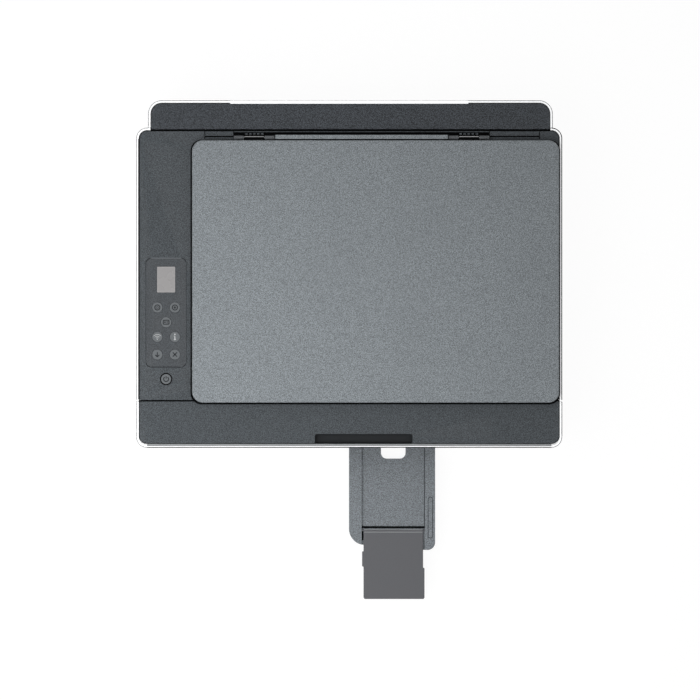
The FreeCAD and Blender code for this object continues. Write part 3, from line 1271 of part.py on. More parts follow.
def build_tank(name, x, middle):
    outer = box(name + "_tank_block", x, tank_y, (fascia_top, tank_top))
    hollow_z = (fascia_top + s.tank_wall, tank_top - s.tank_wall)
    hollow = box(name + "_tank_hollow", inset(x, s.tank_wall), inset(tank_y, s.tank_wall), hollow_z)
    centre = (middle, nozzle_y)
    nozzle_z = (tank_top - s.tank_wall, tank_top + s.nozzle_height)
    nozzle = rod(name + "_nozzle", "z", nozzle_z, centre, s.nozzle_radius)
    mouth_z = (tank_top - 2 * s.tank_wall, tank_top + s.nozzle_height + OVER)
    mouth = rod(name + "_mouth", "z", mouth_z, centre, s.nozzle_bore)
    lugs = []
    lug_y = about(cap_hinge_y, s.cap_thickness)
    lug_z = (tank_top - s.lap, cap_hinge_z + s.cap_thickness / 2)
    for index, lug_x in enumerate(lug_spans(middle)):
        lugs.append(box(f"{name}_lug_{index}", lug_x, lug_y, lug_z))
    bore = s.cap_thickness / 4 + s.shaft_clearance
    hole_x = about(middle, s.cap_width + 2 * s.lug_width)
    hole = rod(name + "_lug_hole", "x", hole_x, (cap_hinge_y, cap_hinge_z), bore)
    solid = fuse(name + "_tank_solid", outer, nozzle, *lugs)
    return cut(name + "_ink_tank", solid, hollow, mouth, hole)


def lug_spans(middle):
    near = barrel_half + s.slide_gap
    far = near + s.lug_width
    return ((middle - far, middle - near), (middle + near, middle + far))


def build_cap(name, middle):
    centre = (cap_hinge_y, cap_hinge_z)
    barrel_x = (middle - barrel_half, middle + barrel_half)
    cover_y = (cap_hinge_y - s.cap_length, cap_hinge_y - s.cap_thickness)
    cover_z = (tank_top + s.slide_gap, tank_top + s.slide_gap + s.cap_thickness)
    cover = box(name + "_cover", about(middle, s.cap_width), cover_y, cover_z)
    neck = box(name + "_neck", barrel_x, (cover_y[1] - s.lap, cap_hinge_y), cover_z)
    barrel = rod(name + "_barrel", "x", barrel_x, centre, s.cap_thickness / 2)
    pin_half = barrel_half + s.slide_gap + s.lug_width
    pin = rod(name + "_cap_pin", "x", (middle - pin_half, middle + pin_half), centre, s.cap_thickness / 4)
    room_z = (tank_top, tank_top + s.nozzle_height + s.slide_gap)
    room = rod(name + "_cap_room", "z", room_z, (middle, nozzle_y), s.nozzle_radius + s.cap_room)
    solid = fuse(name + "_cap_solid", cover, neck, barrel, pin)
    node(name + "_tank_cap", cut(name + "_tank_cap", solid, room))


def build_tray():
    tray_y = (inner_y[0], discharge_y - s.roller_radius - s.inner_gap)
    plate = box("tray_plate", path_x, tray_y, (pan_top, slot_bottom))
    leg_z = (pan_floor, pan_top + s.lap)
    legs = [
        box("tray_leg_left", (path_x[0], path_x[0] + s.tray_leg), tray_y, leg_z),
        box("tray_leg_right", (path_x[1] - s.tray_leg, path_x[1]), tray_y, leg_z),
    ]
    channel_y = inset(tray_y, -OVER)
    channel = box("tray_channel", channel_x, channel_y, (channel_bottom, slot_bottom + OVER))
    node("output_tray", cut("output_tray", fuse("tray_solid", plate, *legs), channel))


def build_extender():
    height = (extender_bottom, slot_bottom)
    rear_corner = s.extender_rear_corner
    left_corners = (s.extender_round_left, s.seam_corner, s.seam_corner, rear_corner)
    right_corners = (s.seam_corner, s.extender_round_right, rear_corner, s.seam_corner)
    left_x = (extender_x[0], flap_middle + s.finger_hole_width)
    left_y = (extender_y[0] + s.wing_step, extender_y[1])
    right_x = (flap_middle - s.finger_hole_width, extender_x[1])
    left_plate = slab("extender_left", left_x, left_y, height, left_corners, s.panel_edge)
    right_plate = slab("extender_right", right_x, extender_y, height, right_corners, s.panel_edge)
    plate = fuse("extender_plate", left_plate, right_plate)
    hinge_front = flap_axis_y - s.flap_thickness / 2 - s.slide_gap
    open_front = extender_y[0] - OVER
    notch_x = inset(recess_x, s.flap_ledge)
    notch = box("extender_notch", notch_x, (open_front, hinge_front), inset(height, -OVER))
    recess_y = (open_front, extender_y[1] - s.recess_end)
    groove_front = flap_axis_y + s.flap_thickness / 2 + s.groove_gap
    groove_y = (groove_front, groove_front + s.groove_width)
    groove_z = (recess_bottom - s.groove_depth, recess_bottom + OVER)
    groove = box("hinge_groove", recess_x, groove_y, groove_z)
    recess = box("extender_recess", recess_x, recess_y, (recess_bottom, slot_bottom + OVER))
    hole_y = (front - s.finger_hole_front, front - s.finger_hole_front + s.finger_hole_depth)
    hole_x = about(flap_middle, s.finger_hole_width)
    hole = slab("finger_hole", hole_x, hole_y, inset(height, -OVER), s.finger_hole_corner)
    bore_x = inset(flap_x, -s.flap_pin_length - s.slide_gap)
    bore = rod("flap_bore", "x", bore_x, (flap_axis_y, flap_z), s.flap_pin_radius + s.shaft_clearance)
    rib_x = about(extender_x[1] - s.grip_rib_inset, s.grip_rib_width)
    rib_front = extender_y[0] + s.grip_rib_front
    rib_y = (rib_front, rib_front + s.grip_rib_length)
    rib_z = (slot_bottom - 2 * s.lap, slot_bottom + s.grip_rib_height)
    rib = slab("extender_rib", rib_x, rib_y, rib_z, s.small_corner)
    around_x = inset(rib_x, -s.grip_groove)
    around_y = inset(rib_y, -s.grip_groove)
    around_z = (slot_bottom - s.lap, slot_bottom + OVER)
    around = slab("rib_groove", around_x, around_y, around_z, s.small_corner + s.grip_groove)
    body = cut("extender_body", plate, notch, recess, groove, hole, bore, around)
    node("tray_extender", fuse("tray_extender", body, rib))
    flap_height = about(flap_z, s.flap_thickness)
    corners = (s.small_corner, s.small_corner, s.seam_corner, s.seam_corner)
    leaf = slab("flap_leaf", flap_x, (flap_tip, flap_axis_y), flap_height, corners, s.panel_edge)
    left_ear_x = (flap_x[0] - s.flap_ear, flap_middle)
    left_ear_y = (flap_tip + s.left_ear_front, flap_tip + s.left_ear_front + s.left_ear_length)
    left_ear = slab("flap_left_ear", left_ear_x, left_ear_y, flap_height, s.seam_corner, s.panel_edge)
    right_ear_x = (flap_middle, flap_x[1] + s.flap_ear)
    right_ear_y = (flap_tip, flap_tip + s.right_ear_length)
    ear_corners = (s.seam_corner, s.small_corner, s.seam_corner, s.seam_corner)
    right_ear = slab("flap_right_ear", right_ear_x, right_ear_y, flap_height, ear_corners, s.panel_edge)
    barrel = rod("flap_barrel", "x", flap_x, (flap_axis_y, flap_z), s.flap_thickness / 2)
    pin_x = inset(flap_x, -s.flap_pin_length)
    pin = rod("flap_pin", "x", pin_x, (flap_axis_y, flap_z), s.flap_pin_radius)
    node("tray_flap", fuse("tray_flap", leaf, left_ear, right_ear, barrel, pin))


def check_and_export():
    doc.recompute()
    for item in doc.Objects:
        if "Invalid" in item.State or "Error" in item.State:
            raise RuntimeError(f"{item.Name} failed: {item.State}")
    os.makedirs("parts", exist_ok=True)
    for label, item in nodes.items():
        shape = item.Shape
        if shape.isNull() or not shape.isValid():
            raise RuntimeError(f"{label} has no valid shape")
        shape.exportStep(f"parts/{label}.step")


build_base()
build_casing()
build_rear_cover()
build_paper_chute()
build_paper_support()
build_paper_guides()
build_chassis()
build_rollers()
build_drive()
build_carriage()
build_print_bed()
build_electronics()
build_control_panel()
build_deck()
build_scanner()
build_lid()
build_door()
build_tanks()
build_tray()
build_extender()
check_and_export()
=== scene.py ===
import math

import bmesh
import bpy
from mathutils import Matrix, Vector


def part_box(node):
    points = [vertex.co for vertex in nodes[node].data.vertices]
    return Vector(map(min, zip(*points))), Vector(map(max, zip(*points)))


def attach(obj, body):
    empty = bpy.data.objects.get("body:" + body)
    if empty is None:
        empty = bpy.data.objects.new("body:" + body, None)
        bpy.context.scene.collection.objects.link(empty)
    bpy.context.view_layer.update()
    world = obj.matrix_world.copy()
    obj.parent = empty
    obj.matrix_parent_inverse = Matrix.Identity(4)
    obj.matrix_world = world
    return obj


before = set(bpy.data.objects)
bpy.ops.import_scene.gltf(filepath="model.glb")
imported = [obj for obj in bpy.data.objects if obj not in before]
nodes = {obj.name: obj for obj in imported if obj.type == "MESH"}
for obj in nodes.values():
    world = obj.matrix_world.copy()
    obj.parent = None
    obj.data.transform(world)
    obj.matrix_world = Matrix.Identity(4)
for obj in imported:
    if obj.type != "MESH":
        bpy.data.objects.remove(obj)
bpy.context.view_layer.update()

MM = 0.001
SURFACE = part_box("door_top")[1].z  # top of the deck and of the front door


# Colours

def srgb(red, green, blue):
    """A colour given as screen levels from 0 to 255."""
    levels = []
    for level in (red, green, blue):
        share = level / 255
        low = share <= 0.04045
        levels.append(share / 12.92 if low else ((share + 0.055) / 1.055) ** 2.4)
    return (*levels, 1.0)


def shade(colour, amount):
    """The same colour made lighter or darker."""
    return (*(min(1.0, level * amount) for level in colour[:3]), 1.0)


CASING_WHITE = srgb(246, 247, 248)
RIM_SHADOW = srgb(96, 98, 100)
DECK_GREY = srgb(71, 76, 80)
STRIP_GREY = srgb(64, 68, 73)
LID_GREY = srgb(131, 137, 141)
OVERLAY_GREY = srgb(69, 73, 77)
KEY_GREY = srgb(102, 106, 109)
TRAY_GREY = srgb(119, 125, 130)
FLAP_GREY = srgb(93, 94, 98)
# grey of the painted shade on the door's lip and of the painted highlights on the flap's hinge
SHADE_AND_HIGHLIGHT_GREY = srgb(150, 153, 155)
LINE_DARK = srgb(42, 45, 48)
HIGHLIGHT_PALE = srgb(98, 102, 106)
CUP_DARK = srgb(31, 34, 37)
# black that stands in for shade in gaps, hollows and grooves
SHADE_BLACK = srgb(9, 10, 11)
DISPLAY_GREY = srgb(150, 148, 148)
DARK_PLASTIC = srgb(40, 43, 46)
INNER_GREY = srgb(96, 99, 102)
PRINT_LIGHT = srgb(206, 208, 208)
PRINT_DARK = srgb(32, 35, 38)
RUBBER_BLACK = srgb(34, 34, 36)
TYRE_DARK = srgb(52, 53, 55)
TYRE_PALE = srgb(70, 71, 73)
PAD_WHITE = srgb(238, 238, 236)
STEEL_GREY = srgb(186, 188, 190)
STEEL_BRIGHT = srgb(214, 215, 216)
MOTOR_GREY = shade(STEEL_GREY, 0.8)
BOARD_GREEN = srgb(34, 92, 58)
CHIP_BLACK = srgb(28, 28, 30)
PANE_CLEAR = srgb(228, 238, 236)
PANE_SMOKE = srgb(112, 116, 120)
TANK_CLEAR = srgb(226, 230, 232)
INK_COLOURS = {
    "black": srgb(16, 16, 20),
    "cyan": srgb(0, 128, 190),
    "magenta": srgb(190, 20, 100),
    "yellow": srgb(236, 190, 20),
}
FLOOR_WHITE = (0.82, 0.82, 0.82, 1.0)
LIGHT_WHITE = (1.0, 1.0, 1.0, 1.0)


# Material building blocks

FULL = (0.0, 1.0)
FULL_DOWN = (1.0, 0.0)
WIDE_NOISE = (0.2, 0.8)  # holds nearly all levels of a noise
MID_NOISE = (0.3, 0.7)  # holds most of them
EDGE_RADIUS = 0.35 * MM
EDGE_SAMPLES = 4
EDGE_TURN = (0.97, 0.8)  # cosines of the turn at which an edge begins and is full
CHANGE = 0.1 * MM  # width over which one finish gives way to another
SMOOTH = 1.0  # detail of a noise, from smooth to fine
SOFT = 2.0
ROUGH = 3.0
FINE = 4.0


def put(tree, socket, value):
    """Give a socket a constant or a link."""
    if isinstance(value, bpy.types.NodeSocket):
        tree.links.new(value, socket)
    else:
        socket.default_value = value


def new_material(name):
    material = bpy.data.materials.new(name)
    material.use_nodes = True
    tree = material.node_tree
    return material, tree, tree.nodes["Principled BSDF"]


def surface(tree, shader, colour, roughness):
    """Give a shader its colour and its roughness."""
    put(tree, shader.inputs["Base Color"], colour)
    put(tree, shader.inputs["Roughness"], roughness)


def coordinates(tree, kind="Object"):
    return tree.nodes.new("ShaderNodeTexCoord").outputs[kind]


def mapped(tree, change, amounts):
    """Object coordinates with a Rotation or a Scale."""
    node = tree.nodes.new("ShaderNodeMapping")
    put(tree, node.inputs[change], amounts)
    put(tree, node.inputs["Vector"], coordinates(tree))
    return node.outputs["Vector"]


def noise(tree, vector, scale, detail=SOFT):
    texture = tree.nodes.new("ShaderNodeTexNoise")
    put(tree, texture.inputs["Vector"], vector)
    put(tree, texture.inputs["Scale"], scale)
    put(tree, texture.inputs["Detail"], detail)
    return texture.outputs["Fac"]


def remap(tree, value, source, target):
    """Map a value from one (low, high) range to another, held at its ends."""
    node = tree.nodes.new("ShaderNodeMapRange")
    put(tree, node.inputs["Value"], value)
    put(tree, node.inputs["From Min"], source[0])
    put(tree, node.inputs["From Max"], source[1])
    put(tree, node.inputs["To Min"], target[0])
    put(tree, node.inputs["To Max"], target[1])
    return node.outputs["Result"]


def step(tree, value, start, width=CHANGE):
    """0 below start, and 1 above start plus width."""
    return remap(tree, value, (start, start + width), FULL)


def around(middle, spread):
    """The range from a spread below a middle to a spread above it."""
    return (middle - spread, middle + spread)


def calc(tree, operation, first, second=0.0):
    node = tree.nodes.new("ShaderNodeMath")
    node.operation = operation
    put(tree, node.inputs[0], first)
    put(tree, node.inputs[1], second)
    return node.outputs[0]


def mixed(tree, share, first, second):
    """A colour between two others."""
    node = tree.nodes.new("ShaderNodeMix")
    node.data_type = "RGBA"
    put(tree, node.inputs["Factor"], share)
    put(tree, node.inputs["A"], first)
    put(tree, node.inputs["B"], second)
    return node.outputs["Result"]


def laid_over(material, share, colour):
    """Cover a material with a second colour where share is 1."""
    tree = material.node_tree
    socket = tree.nodes["Principled BSDF"].inputs["Base Color"]
    below = socket.links[0].from_socket
    put(tree, socket, mixed(tree, share, below, colour))


def axis_of(tree, vector, axis):
    node = tree.nodes.new("ShaderNodeSeparateXYZ")
    put(tree, node.inputs[0], vector)
    return node.outputs[axis]


def height_of(tree):
    return axis_of(tree, coordinates(tree), "Z")


def off_centre(tree, place, centres):
    """How far a point lies from each given centre, one (axis, centre) pair for each."""
    return [
        calc(tree, "SUBTRACT", axis_of(tree, place, axis), centre)
        for axis, centre in centres
    ]


def radius_of(tree, place, centres):
    """The distance of a point from a line, given the line's place on two axes."""
    squares = [calc(tree, "MULTIPLY", side, side) for side in off_centre(tree, place, centres)]
    return calc(tree, "SQRT", calc(tree, "ADD", squares[0], squares[1]))


def soft_edges(tree):
    """A normal that rounds off sharp edges, and how close to an edge a point is."""
    bevel = tree.nodes.new("ShaderNodeBevel")
    bevel.samples = EDGE_SAMPLES
    bevel.inputs["Radius"].default_value = EDGE_RADIUS
    geometry = tree.nodes.new("ShaderNodeNewGeometry")
    facing = tree.nodes.new("ShaderNodeVectorMath")
    facing.operation = "DOT_PRODUCT"
    put(tree, facing.inputs[0], bevel.outputs["Normal"])
    put(tree, facing.inputs[1], geometry.outputs["Normal"])
    edge = remap(tree, facing.outputs["Value"], EDGE_TURN, FULL)
    return bevel.outputs["Normal"], edge


def bump(tree, shader, height, depth, strength, normal):
    node = tree.nodes.new("ShaderNodeBump")
    node.inputs["Distance"].default_value = depth
    node.inputs["Strength"].default_value = strength
    put(tree, node.inputs["Height"], height)
    put(tree, node.inputs["Normal"], normal)
    put(tree, shader.inputs["Normal"], node.outputs["Normal"])


# Materials

GRAIN_DEPTH = 0.12 * MM
FINE_DEPTH = GRAIN_DEPTH / 2
FINE_RELIEF = 0.2
GRAIN_TILT = (0.6, 0.4, 0.2)  # keeps the grain even on faces along every axis
SPECKLE = (0.36, 0.64)  # levels of the grain's noise that take the whole contrast
DRIFT_SCALE = 14.0
DRIFT_LEVELS = (0.35, 0.65)
DRIFT_SHARE = (0.0, 0.12)
WEAR_AND_HIGHLIGHT_SHADE = 1.5
RIM_LINE = (0.25 * MM, 0.9 * MM)  # shadow line under the casing's rim, from and to
RIM_GLOW = 0.4  # a slight glow that keeps the rim white in the lid's shade
KNUCKLE_FOOT = 0.5 * MM  # height above the deck at which the knuckles' painted light starts
KNUCKLE_FADE = 0.5 * MM  # height over which it grows to full
KEY_SINK = (0.9 * MM, 0.4 * MM)  # depth under the deck at which a key's painted gap shade is full and at which it ends
SHAFT_RADIUS = 3.3 * MM
CHIP_EDGE = 0.2 * MM
PLASTIC_IOR = 1.49
CENTRE = (("X", 0.5), ("Y", 0.5))  # middle of a piece in its own 0 to 1 coordinates
DISPLAY_RIM = (0.455, 0.475)  # share of the display's size at which its edge begins and is full
KEY_RING = (0.33, 0.37)  # the same for the ring on a key
TRACK_WIDTH = (0.04, 0.08)
BELT_DEPTH = 0.4 * MM
BELT_RELIEF = 0.4

# Fineness of the patterns, in cells per metre

SMEARS = 60.0
DISPLAY_TINTS = 90.0
KEY_GRAIN = 1500.0
TRACKS = 220.0
BOARD_GRAIN = 400.0
TYRE_GRAIN = 900.0
PORES = 700.0
BELT_TEETH = 160.0
SWIRLS = 40.0

# How much lighter or darker a pattern makes its colour

DRAWN_SHADE = 0.85
SMEAR_SHADE = 0.94
TINT_SHADES = (0.993, 1.007)
DISPLAY_RIM_SHADE = 1.12
KEY_SHADES = (0.9, 1.04)
TRACK_SHADE = 1.8
PORE_SHADE = 0.9
BELT_SHADE = 1.6
SWIRL_SHADE = 0.8

# Roughness: how far it swings in some patterns, and its two ends in others

GRAIN_SPREAD = 0.07
METAL_SPREAD = 0.08
SMEAR_SPREAD = 0.06
DISPLAY_ROUGHNESS = (0.22, 0.32)
KEY_ROUGHNESS = (0.42, 0.52)
BOARD_ROUGHNESS = (0.35, 0.5)
ROLLER_ROUGHNESS = (0.28, 0.8)
FOAM_ROUGHNESS = (0.75, 0.9)
BELT_ROUGHNESS = (0.6, 0.75)
INK_ROUGHNESS = (0.05, 0.12)


def moulded(name, colour, roughness, grain=1.1 * MM, contrast=0.06, relief=0.25, wear_and_highlight=0.12):
    """Moulded plastic: a fine grain in colour and relief, and paler edges that are partly wear and
    partly painted highlight.
    """
    material, tree, shader = new_material(name)
    place = mapped(tree, "Rotation", GRAIN_TILT)
    fine = noise(tree, place, 1 / grain, SMOOTH)
    broad = noise(tree, place, DRIFT_SCALE, ROUGH)
    normal, edge = soft_edges(tree)
    speckle = remap(tree, fine, SPECKLE, FULL)
    grained = mixed(tree, speckle, shade(colour, 1 - contrast), shade(colour, 1 + contrast))
    drift = remap(tree, broad, DRIFT_LEVELS, DRIFT_SHARE)
    toned = mixed(tree, drift, grained, shade(colour, 1 - contrast / 2))
    # paler edges: partly edge wear, partly a painted highlight along every edge
    worn_and_lit = mixed(tree, calc(tree, "MULTIPLY", edge, wear_and_highlight), toned, shade(colour, WEAR_AND_HIGHLIGHT_SHADE))
    surface(tree, shader, worn_and_lit, remap(tree, fine, WIDE_NOISE, around(roughness, GRAIN_SPREAD)))
    bump(tree, shader, fine, GRAIN_DEPTH, relief, normal)
    return material


def rimmed(name, top):
    """White moulded casing whose rim at the given height glows with painted light, with a painted
    shadow line under it.
    """
    material = moulded(
        name, CASING_WHITE, 0.42, grain=0.7 * MM, contrast=0.012, relief=0.12, wear_and_highlight=0.05
    )
    tree = material.node_tree
    shader = tree.nodes["Principled BSDF"]
    height = height_of(tree)
    # painted shadow: a dark band just under the rim, on its rounded edge and on the inner faces of
    # its walls
    rim = step(tree, height, top - RIM_LINE[0])
    above = step(tree, height, top - RIM_LINE[1])
    laid_over(material, calc(tree, "SUBTRACT", above, rim), RIM_SHADOW)
    # painted light: the top of the rim glows, so that it stays white where the lid shades it
    shader.inputs["Emission Color"].default_value = CASING_WHITE
    put(tree, shader.inputs["Emission Strength"], calc(tree, "MULTIPLY", rim, RIM_GLOW))
    return material


def deck_plastic(name):
    """The deck's dark grained plastic."""
    return moulded(name, DECK_GREY, 0.55, grain=0.75 * MM, contrast=0.62, relief=0.5)


def with_lit_knuckles(name):
    """The deck's grained plastic, with the hinge knuckles above its surface painted paler: painted
    light against the lid's shade.
    """
    material = deck_plastic(name)
    tree = material.node_tree
    knuckle = step(tree, height_of(tree), SURFACE + KNUCKLE_FOOT, KNUCKLE_FADE)
    # painted light: what stands above the deck is paler, so the knuckles do not go dark in the lid's
    # shade
    laid_over(material, knuckle, INNER_GREY)
    return material


def brushed_metal(name, colour, roughness, stretch):
    """Plated metal with fine drawn lines along the axis that is stretched."""
    material, tree, shader = new_material(name)
    lines = noise(tree, mapped(tree, "Scale", stretch), 1.0, FINE)
    normal = soft_edges(tree)[0]
    drawn = mixed(tree, lines, shade(colour, DRAWN_SHADE), colour)
    surface(tree, shader, drawn, remap(tree, lines, WIDE_NOISE, around(roughness, METAL_SPREAD)))
    shader.inputs["Metallic"].default_value = 1.0
    bump(tree, shader, lines, FINE_DEPTH, FINE_RELIEF, normal)
    return material


def clear_plastic(name, colour, roughness, transmission):
    """See-through plastic or glass with faint smears in its gloss."""
    material, tree, shader = new_material(name)
    smear = noise(tree, coordinates(tree), SMEARS, FINE)
    smeared = mixed(tree, smear, shade(colour, SMEAR_SHADE), colour)
    spread = (roughness, roughness + SMEAR_SPREAD)
    surface(tree, shader, smeared, remap(tree, smear, MID_NOISE, spread))
    shader.inputs["Transmission Weight"].default_value = transmission
    shader.inputs["IOR"].default_value = PLASTIC_IOR
    return material


def framed_display():
    """An unlit display: a warm grey pane with a paler edge and faint tints."""
    material, tree, shader = new_material("display_pane")
    place = coordinates(tree, "Generated")
    sides = [calc(tree, "ABSOLUTE", side) for side in off_centre(tree, place, CENTRE)]
    border = calc(tree, "MAXIMUM", sides[0], sides[1])
    rim = remap(tree, border, DISPLAY_RIM, FULL)
    tint = noise(tree, coordinates(tree), DISPLAY_TINTS)
    pane = mixed(tree, tint, *(shade(DISPLAY_GREY, amount) for amount in TINT_SHADES))
    edged = mixed(tree, rim, pane, shade(DISPLAY_GREY, DISPLAY_RIM_SHADE))
    surface(tree, shader, edged, remap(tree, tint, MID_NOISE, DISPLAY_ROUGHNESS))
    return material


def key_cap(name, ring):
    """A satin key with a paler ring near its rim, and painted shade where it sits under the deck."""
    material, tree, shader = new_material(name)
    radius = radius_of(tree, coordinates(tree, "Generated"), CENTRE)
    rim = remap(tree, radius, KEY_RING, FULL)
    fine = noise(tree, coordinates(tree), KEY_GRAIN, ROUGH)
    face = mixed(tree, fine, *(shade(KEY_GREY, amount) for amount in KEY_SHADES))
    normal = soft_edges(tree)[0]
    top = mixed(tree, rim, face, shade(KEY_GREY, ring))
    # painted shade: below the deck the key turns black, as the gap around it
    depths = (SURFACE - KEY_SINK[0], SURFACE - KEY_SINK[1])
    key_gap_shade = remap(tree, height_of(tree), depths, FULL_DOWN)
    key_shaded_below = mixed(tree, key_gap_shade, top, SHADE_BLACK)
    surface(tree, shader, key_shaded_below, remap(tree, fine, MID_NOISE, KEY_ROUGHNESS))
    bump(tree, shader, fine, FINE_DEPTH, FINE_RELIEF, normal)
    return material


def circuit_board(name, axis, chip_level):
    """Green board with fine tracks; what stands above chip_level is a black chip."""
    material, tree, shader = new_material(name)
    place = coordinates(tree)
    cells = tree.nodes.new("ShaderNodeTexVoronoi")
    cells.distance = "MANHATTAN"
    cells.feature = "DISTANCE_TO_EDGE"
    put(tree, cells.inputs["Vector"], place)
    put(tree, cells.inputs["Scale"], TRACKS)
    track = remap(tree, cells.outputs["Distance"], TRACK_WIDTH, FULL_DOWN)
    green = mixed(tree, track, BOARD_GREEN, shade(BOARD_GREEN, TRACK_SHADE))
    chip = step(tree, axis_of(tree, place, axis), chip_level, CHIP_EDGE)
    roughness = remap(tree, noise(tree, place, BOARD_GRAIN), MID_NOISE, BOARD_ROUGHNESS)
    surface(tree, shader, mixed(tree, chip, green, CHIP_BLACK), roughness)
    return material


def roller(name):
    """A steel shaft with rubber tyres: what lies far from the node's own axis is rubber."""
    low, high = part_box(name)
    middle = (low + high) / 2
    material, tree, shader = new_material(name + "_finish")
    place = coordinates(tree)
    radius = radius_of(tree, place, (("Y", middle.y), ("Z", middle.z)))
    tyre = step(tree, radius, SHAFT_RADIUS)
    rubber = mixed(tree, noise(tree, place, TYRE_GRAIN, ROUGH), TYRE_DARK, TYRE_PALE)
    tyred = mixed(tree, tyre, STEEL_GREY, rubber)
    surface(tree, shader, tyred, remap(tree, tyre, FULL, ROLLER_ROUGHNESS))
    put(tree, shader.inputs["Metallic"], calc(tree, "SUBTRACT", 1.0, tyre))
    return material


def foam(name, colour):
    """White foam backing with open pores."""
    material, tree, shader = new_material(name)
    pores = tree.nodes.new("ShaderNodeTexVoronoi")
    put(tree, pores.inputs["Vector"], coordinates(tree))
    put(tree, pores.inputs["Scale"], PORES)
    depth = pores.outputs["Distance"]
    pitted = mixed(tree, depth, colour, shade(colour, PORE_SHADE))
    surface(tree, shader, pitted, remap(tree, depth, FULL, FOAM_ROUGHNESS))
    bump(tree, shader, depth, GRAIN_DEPTH, FINE_RELIEF, soft_edges(tree)[0])
    return material


def toothed_rubber(name):
    """Belt rubber with fine teeth across it."""
    material, tree, shader = new_material(name)
    wave = tree.nodes.new("ShaderNodeTexWave")
    put(tree, wave.inputs["Vector"], coordinates(tree))
    put(tree, wave.inputs["Scale"], BELT_TEETH)
    teeth = wave.outputs["Fac"]
    striped = mixed(tree, teeth, RUBBER_BLACK, shade(RUBBER_BLACK, BELT_SHADE))
    surface(tree, shader, striped, remap(tree, teeth, FULL, BELT_ROUGHNESS))
    bump(tree, shader, teeth, BELT_DEPTH, BELT_RELIEF, soft_edges(tree)[0])
    return material


def liquid(name, colour):
    """Ink: deep colour, glossy, with a faint swirl."""
    material, tree, shader = new_material(name)
    swirl = noise(tree, coordinates(tree), SWIRLS, ROUGH)
    swirled = mixed(tree, swirl, shade(colour, SWIRL_SHADE), colour)
    surface(tree, shader, swirled, remap(tree, swirl, MID_NOISE, INK_ROUGHNESS))
    return material


LINE_GRAIN = {"grain": 0.5 * MM, "contrast": 0.06, "relief": 0.1, "wear_and_highlight": 0.0}
PANEL_GRAIN = {"grain": 0.75 * MM, "contrast": 0.5, "relief": 0.5}
BOARD_THICKNESS = 1.8 * MM
GAP_SHINE = 0.1  # keeps the gaps dark under the softbox

casing_white = rimmed("casing_white", SURFACE)
rear_white = rimmed("rear_white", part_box("rear_cover")[1].z)
line_dark = moulded("line_dark", LINE_DARK, 0.6, **LINE_GRAIN)
highlight_pale = moulded("highlight_pale", HIGHLIGHT_PALE, 0.5, **LINE_GRAIN)
deck_grey = deck_plastic("deck_grey")
deck_lit_knuckles = with_lit_knuckles("deck_lit_knuckles")
strip_grey = moulded("strip_grey", STRIP_GREY, 0.55, grain=0.8 * MM, contrast=0.88, relief=0.5)
lid_grey = moulded("lid_grey", LID_GREY, 0.52, **PANEL_GRAIN)
overlay_grey = moulded("overlay_grey", OVERLAY_GREY, 0.4, grain=0.75 * MM, contrast=0.42, relief=0.3)
tray_grey = moulded("tray_grey", TRAY_GREY, 0.52, **PANEL_GRAIN)
flap_grey = moulded("flap_grey", FLAP_GREY, 0.45, grain=0.9 * MM, contrast=0.03, relief=0.12)
dark_plastic = moulded("dark_plastic", DARK_PLASTIC, 0.5, grain=1.0 * MM, contrast=0.08)
cup_dark = moulded("cup_dark", CUP_DARK, 0.6, grain=1.2 * MM, contrast=0.1, relief=0.2, wear_and_highlight=0.0)
# painted shade: black for the pieces that stand in for shadow in gaps, hollows and grooves
shade_black = moulded("shade_black", SHADE_BLACK, 0.9, grain=0.8 * MM, contrast=0.15, relief=0.2, wear_and_highlight=0.0)
shade_black.node_tree.nodes["Principled BSDF"].inputs["Specular IOR Level"].default_value = GAP_SHINE
shade_and_highlight_grey = moulded("shade_and_highlight_grey", SHADE_AND_HIGHLIGHT_GREY, 0.45, grain=0.8 * MM, contrast=0.04, relief=0.1)
inner_grey = moulded("inner_grey", INNER_GREY, 0.5, grain=1.0 * MM, contrast=0.05)
foot_rubber = moulded("foot_rubber", RUBBER_BLACK, 0.78, grain=0.6 * MM, contrast=0.12, relief=0.4)
print_light = moulded("print_light", PRINT_LIGHT, 0.5, grain=0.3 * MM, contrast=0.02, relief=0.05)
print_dark = moulded("print_dark", PRINT_DARK, 0.5, grain=0.3 * MM, contrast=0.04, relief=0.05)
sheet_steel = brushed_metal("sheet_steel", STEEL_GREY, 0.36, stretch=(60.0, 900.0, 900.0))
motor_steel = brushed_metal("motor_steel", MOTOR_GREY, 0.4, stretch=(300.0, 300.0, 300.0))
bright_steel = brushed_metal("bright_steel", STEEL_BRIGHT, 0.2, stretch=(40.0, 1200.0, 1200.0))
scan_pane = clear_plastic("scan_pane", PANE_CLEAR, 0.02, transmission=1.0)
smoky_pane = clear_plastic("smoky_pane", PANE_SMOKE, 0.08, transmission=0.9)
tank_plastic = clear_plastic("tank_plastic", TANK_CLEAR, 0.08, transmission=0.95)
display_pane = framed_display()
plain_key = key_cap("plain_key", ring=1.08)
ringed_key = key_cap("ringed_key", ring=1.3)
white_foam = foam("white_foam", PAD_WHITE)
belt_rubber = toothed_rubber("belt_rubber")
main_board_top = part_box("main_board")[0].x + BOARD_THICKNESS
main_board_finish = circuit_board("main_board_finish", "X", main_board_top)
control_board_finish = circuit_board("control_board_finish", "Z", SURFACE)
cap_finishes = {
    name: moulded(name + "_cap_plastic", colour, 0.45, grain=0.8 * MM, contrast=0.05, relief=0.15)
    for name, colour in INK_COLOURS.items()
}
inks = {name: liquid(name + "_ink", colour) for name, colour in INK_COLOURS.items()}

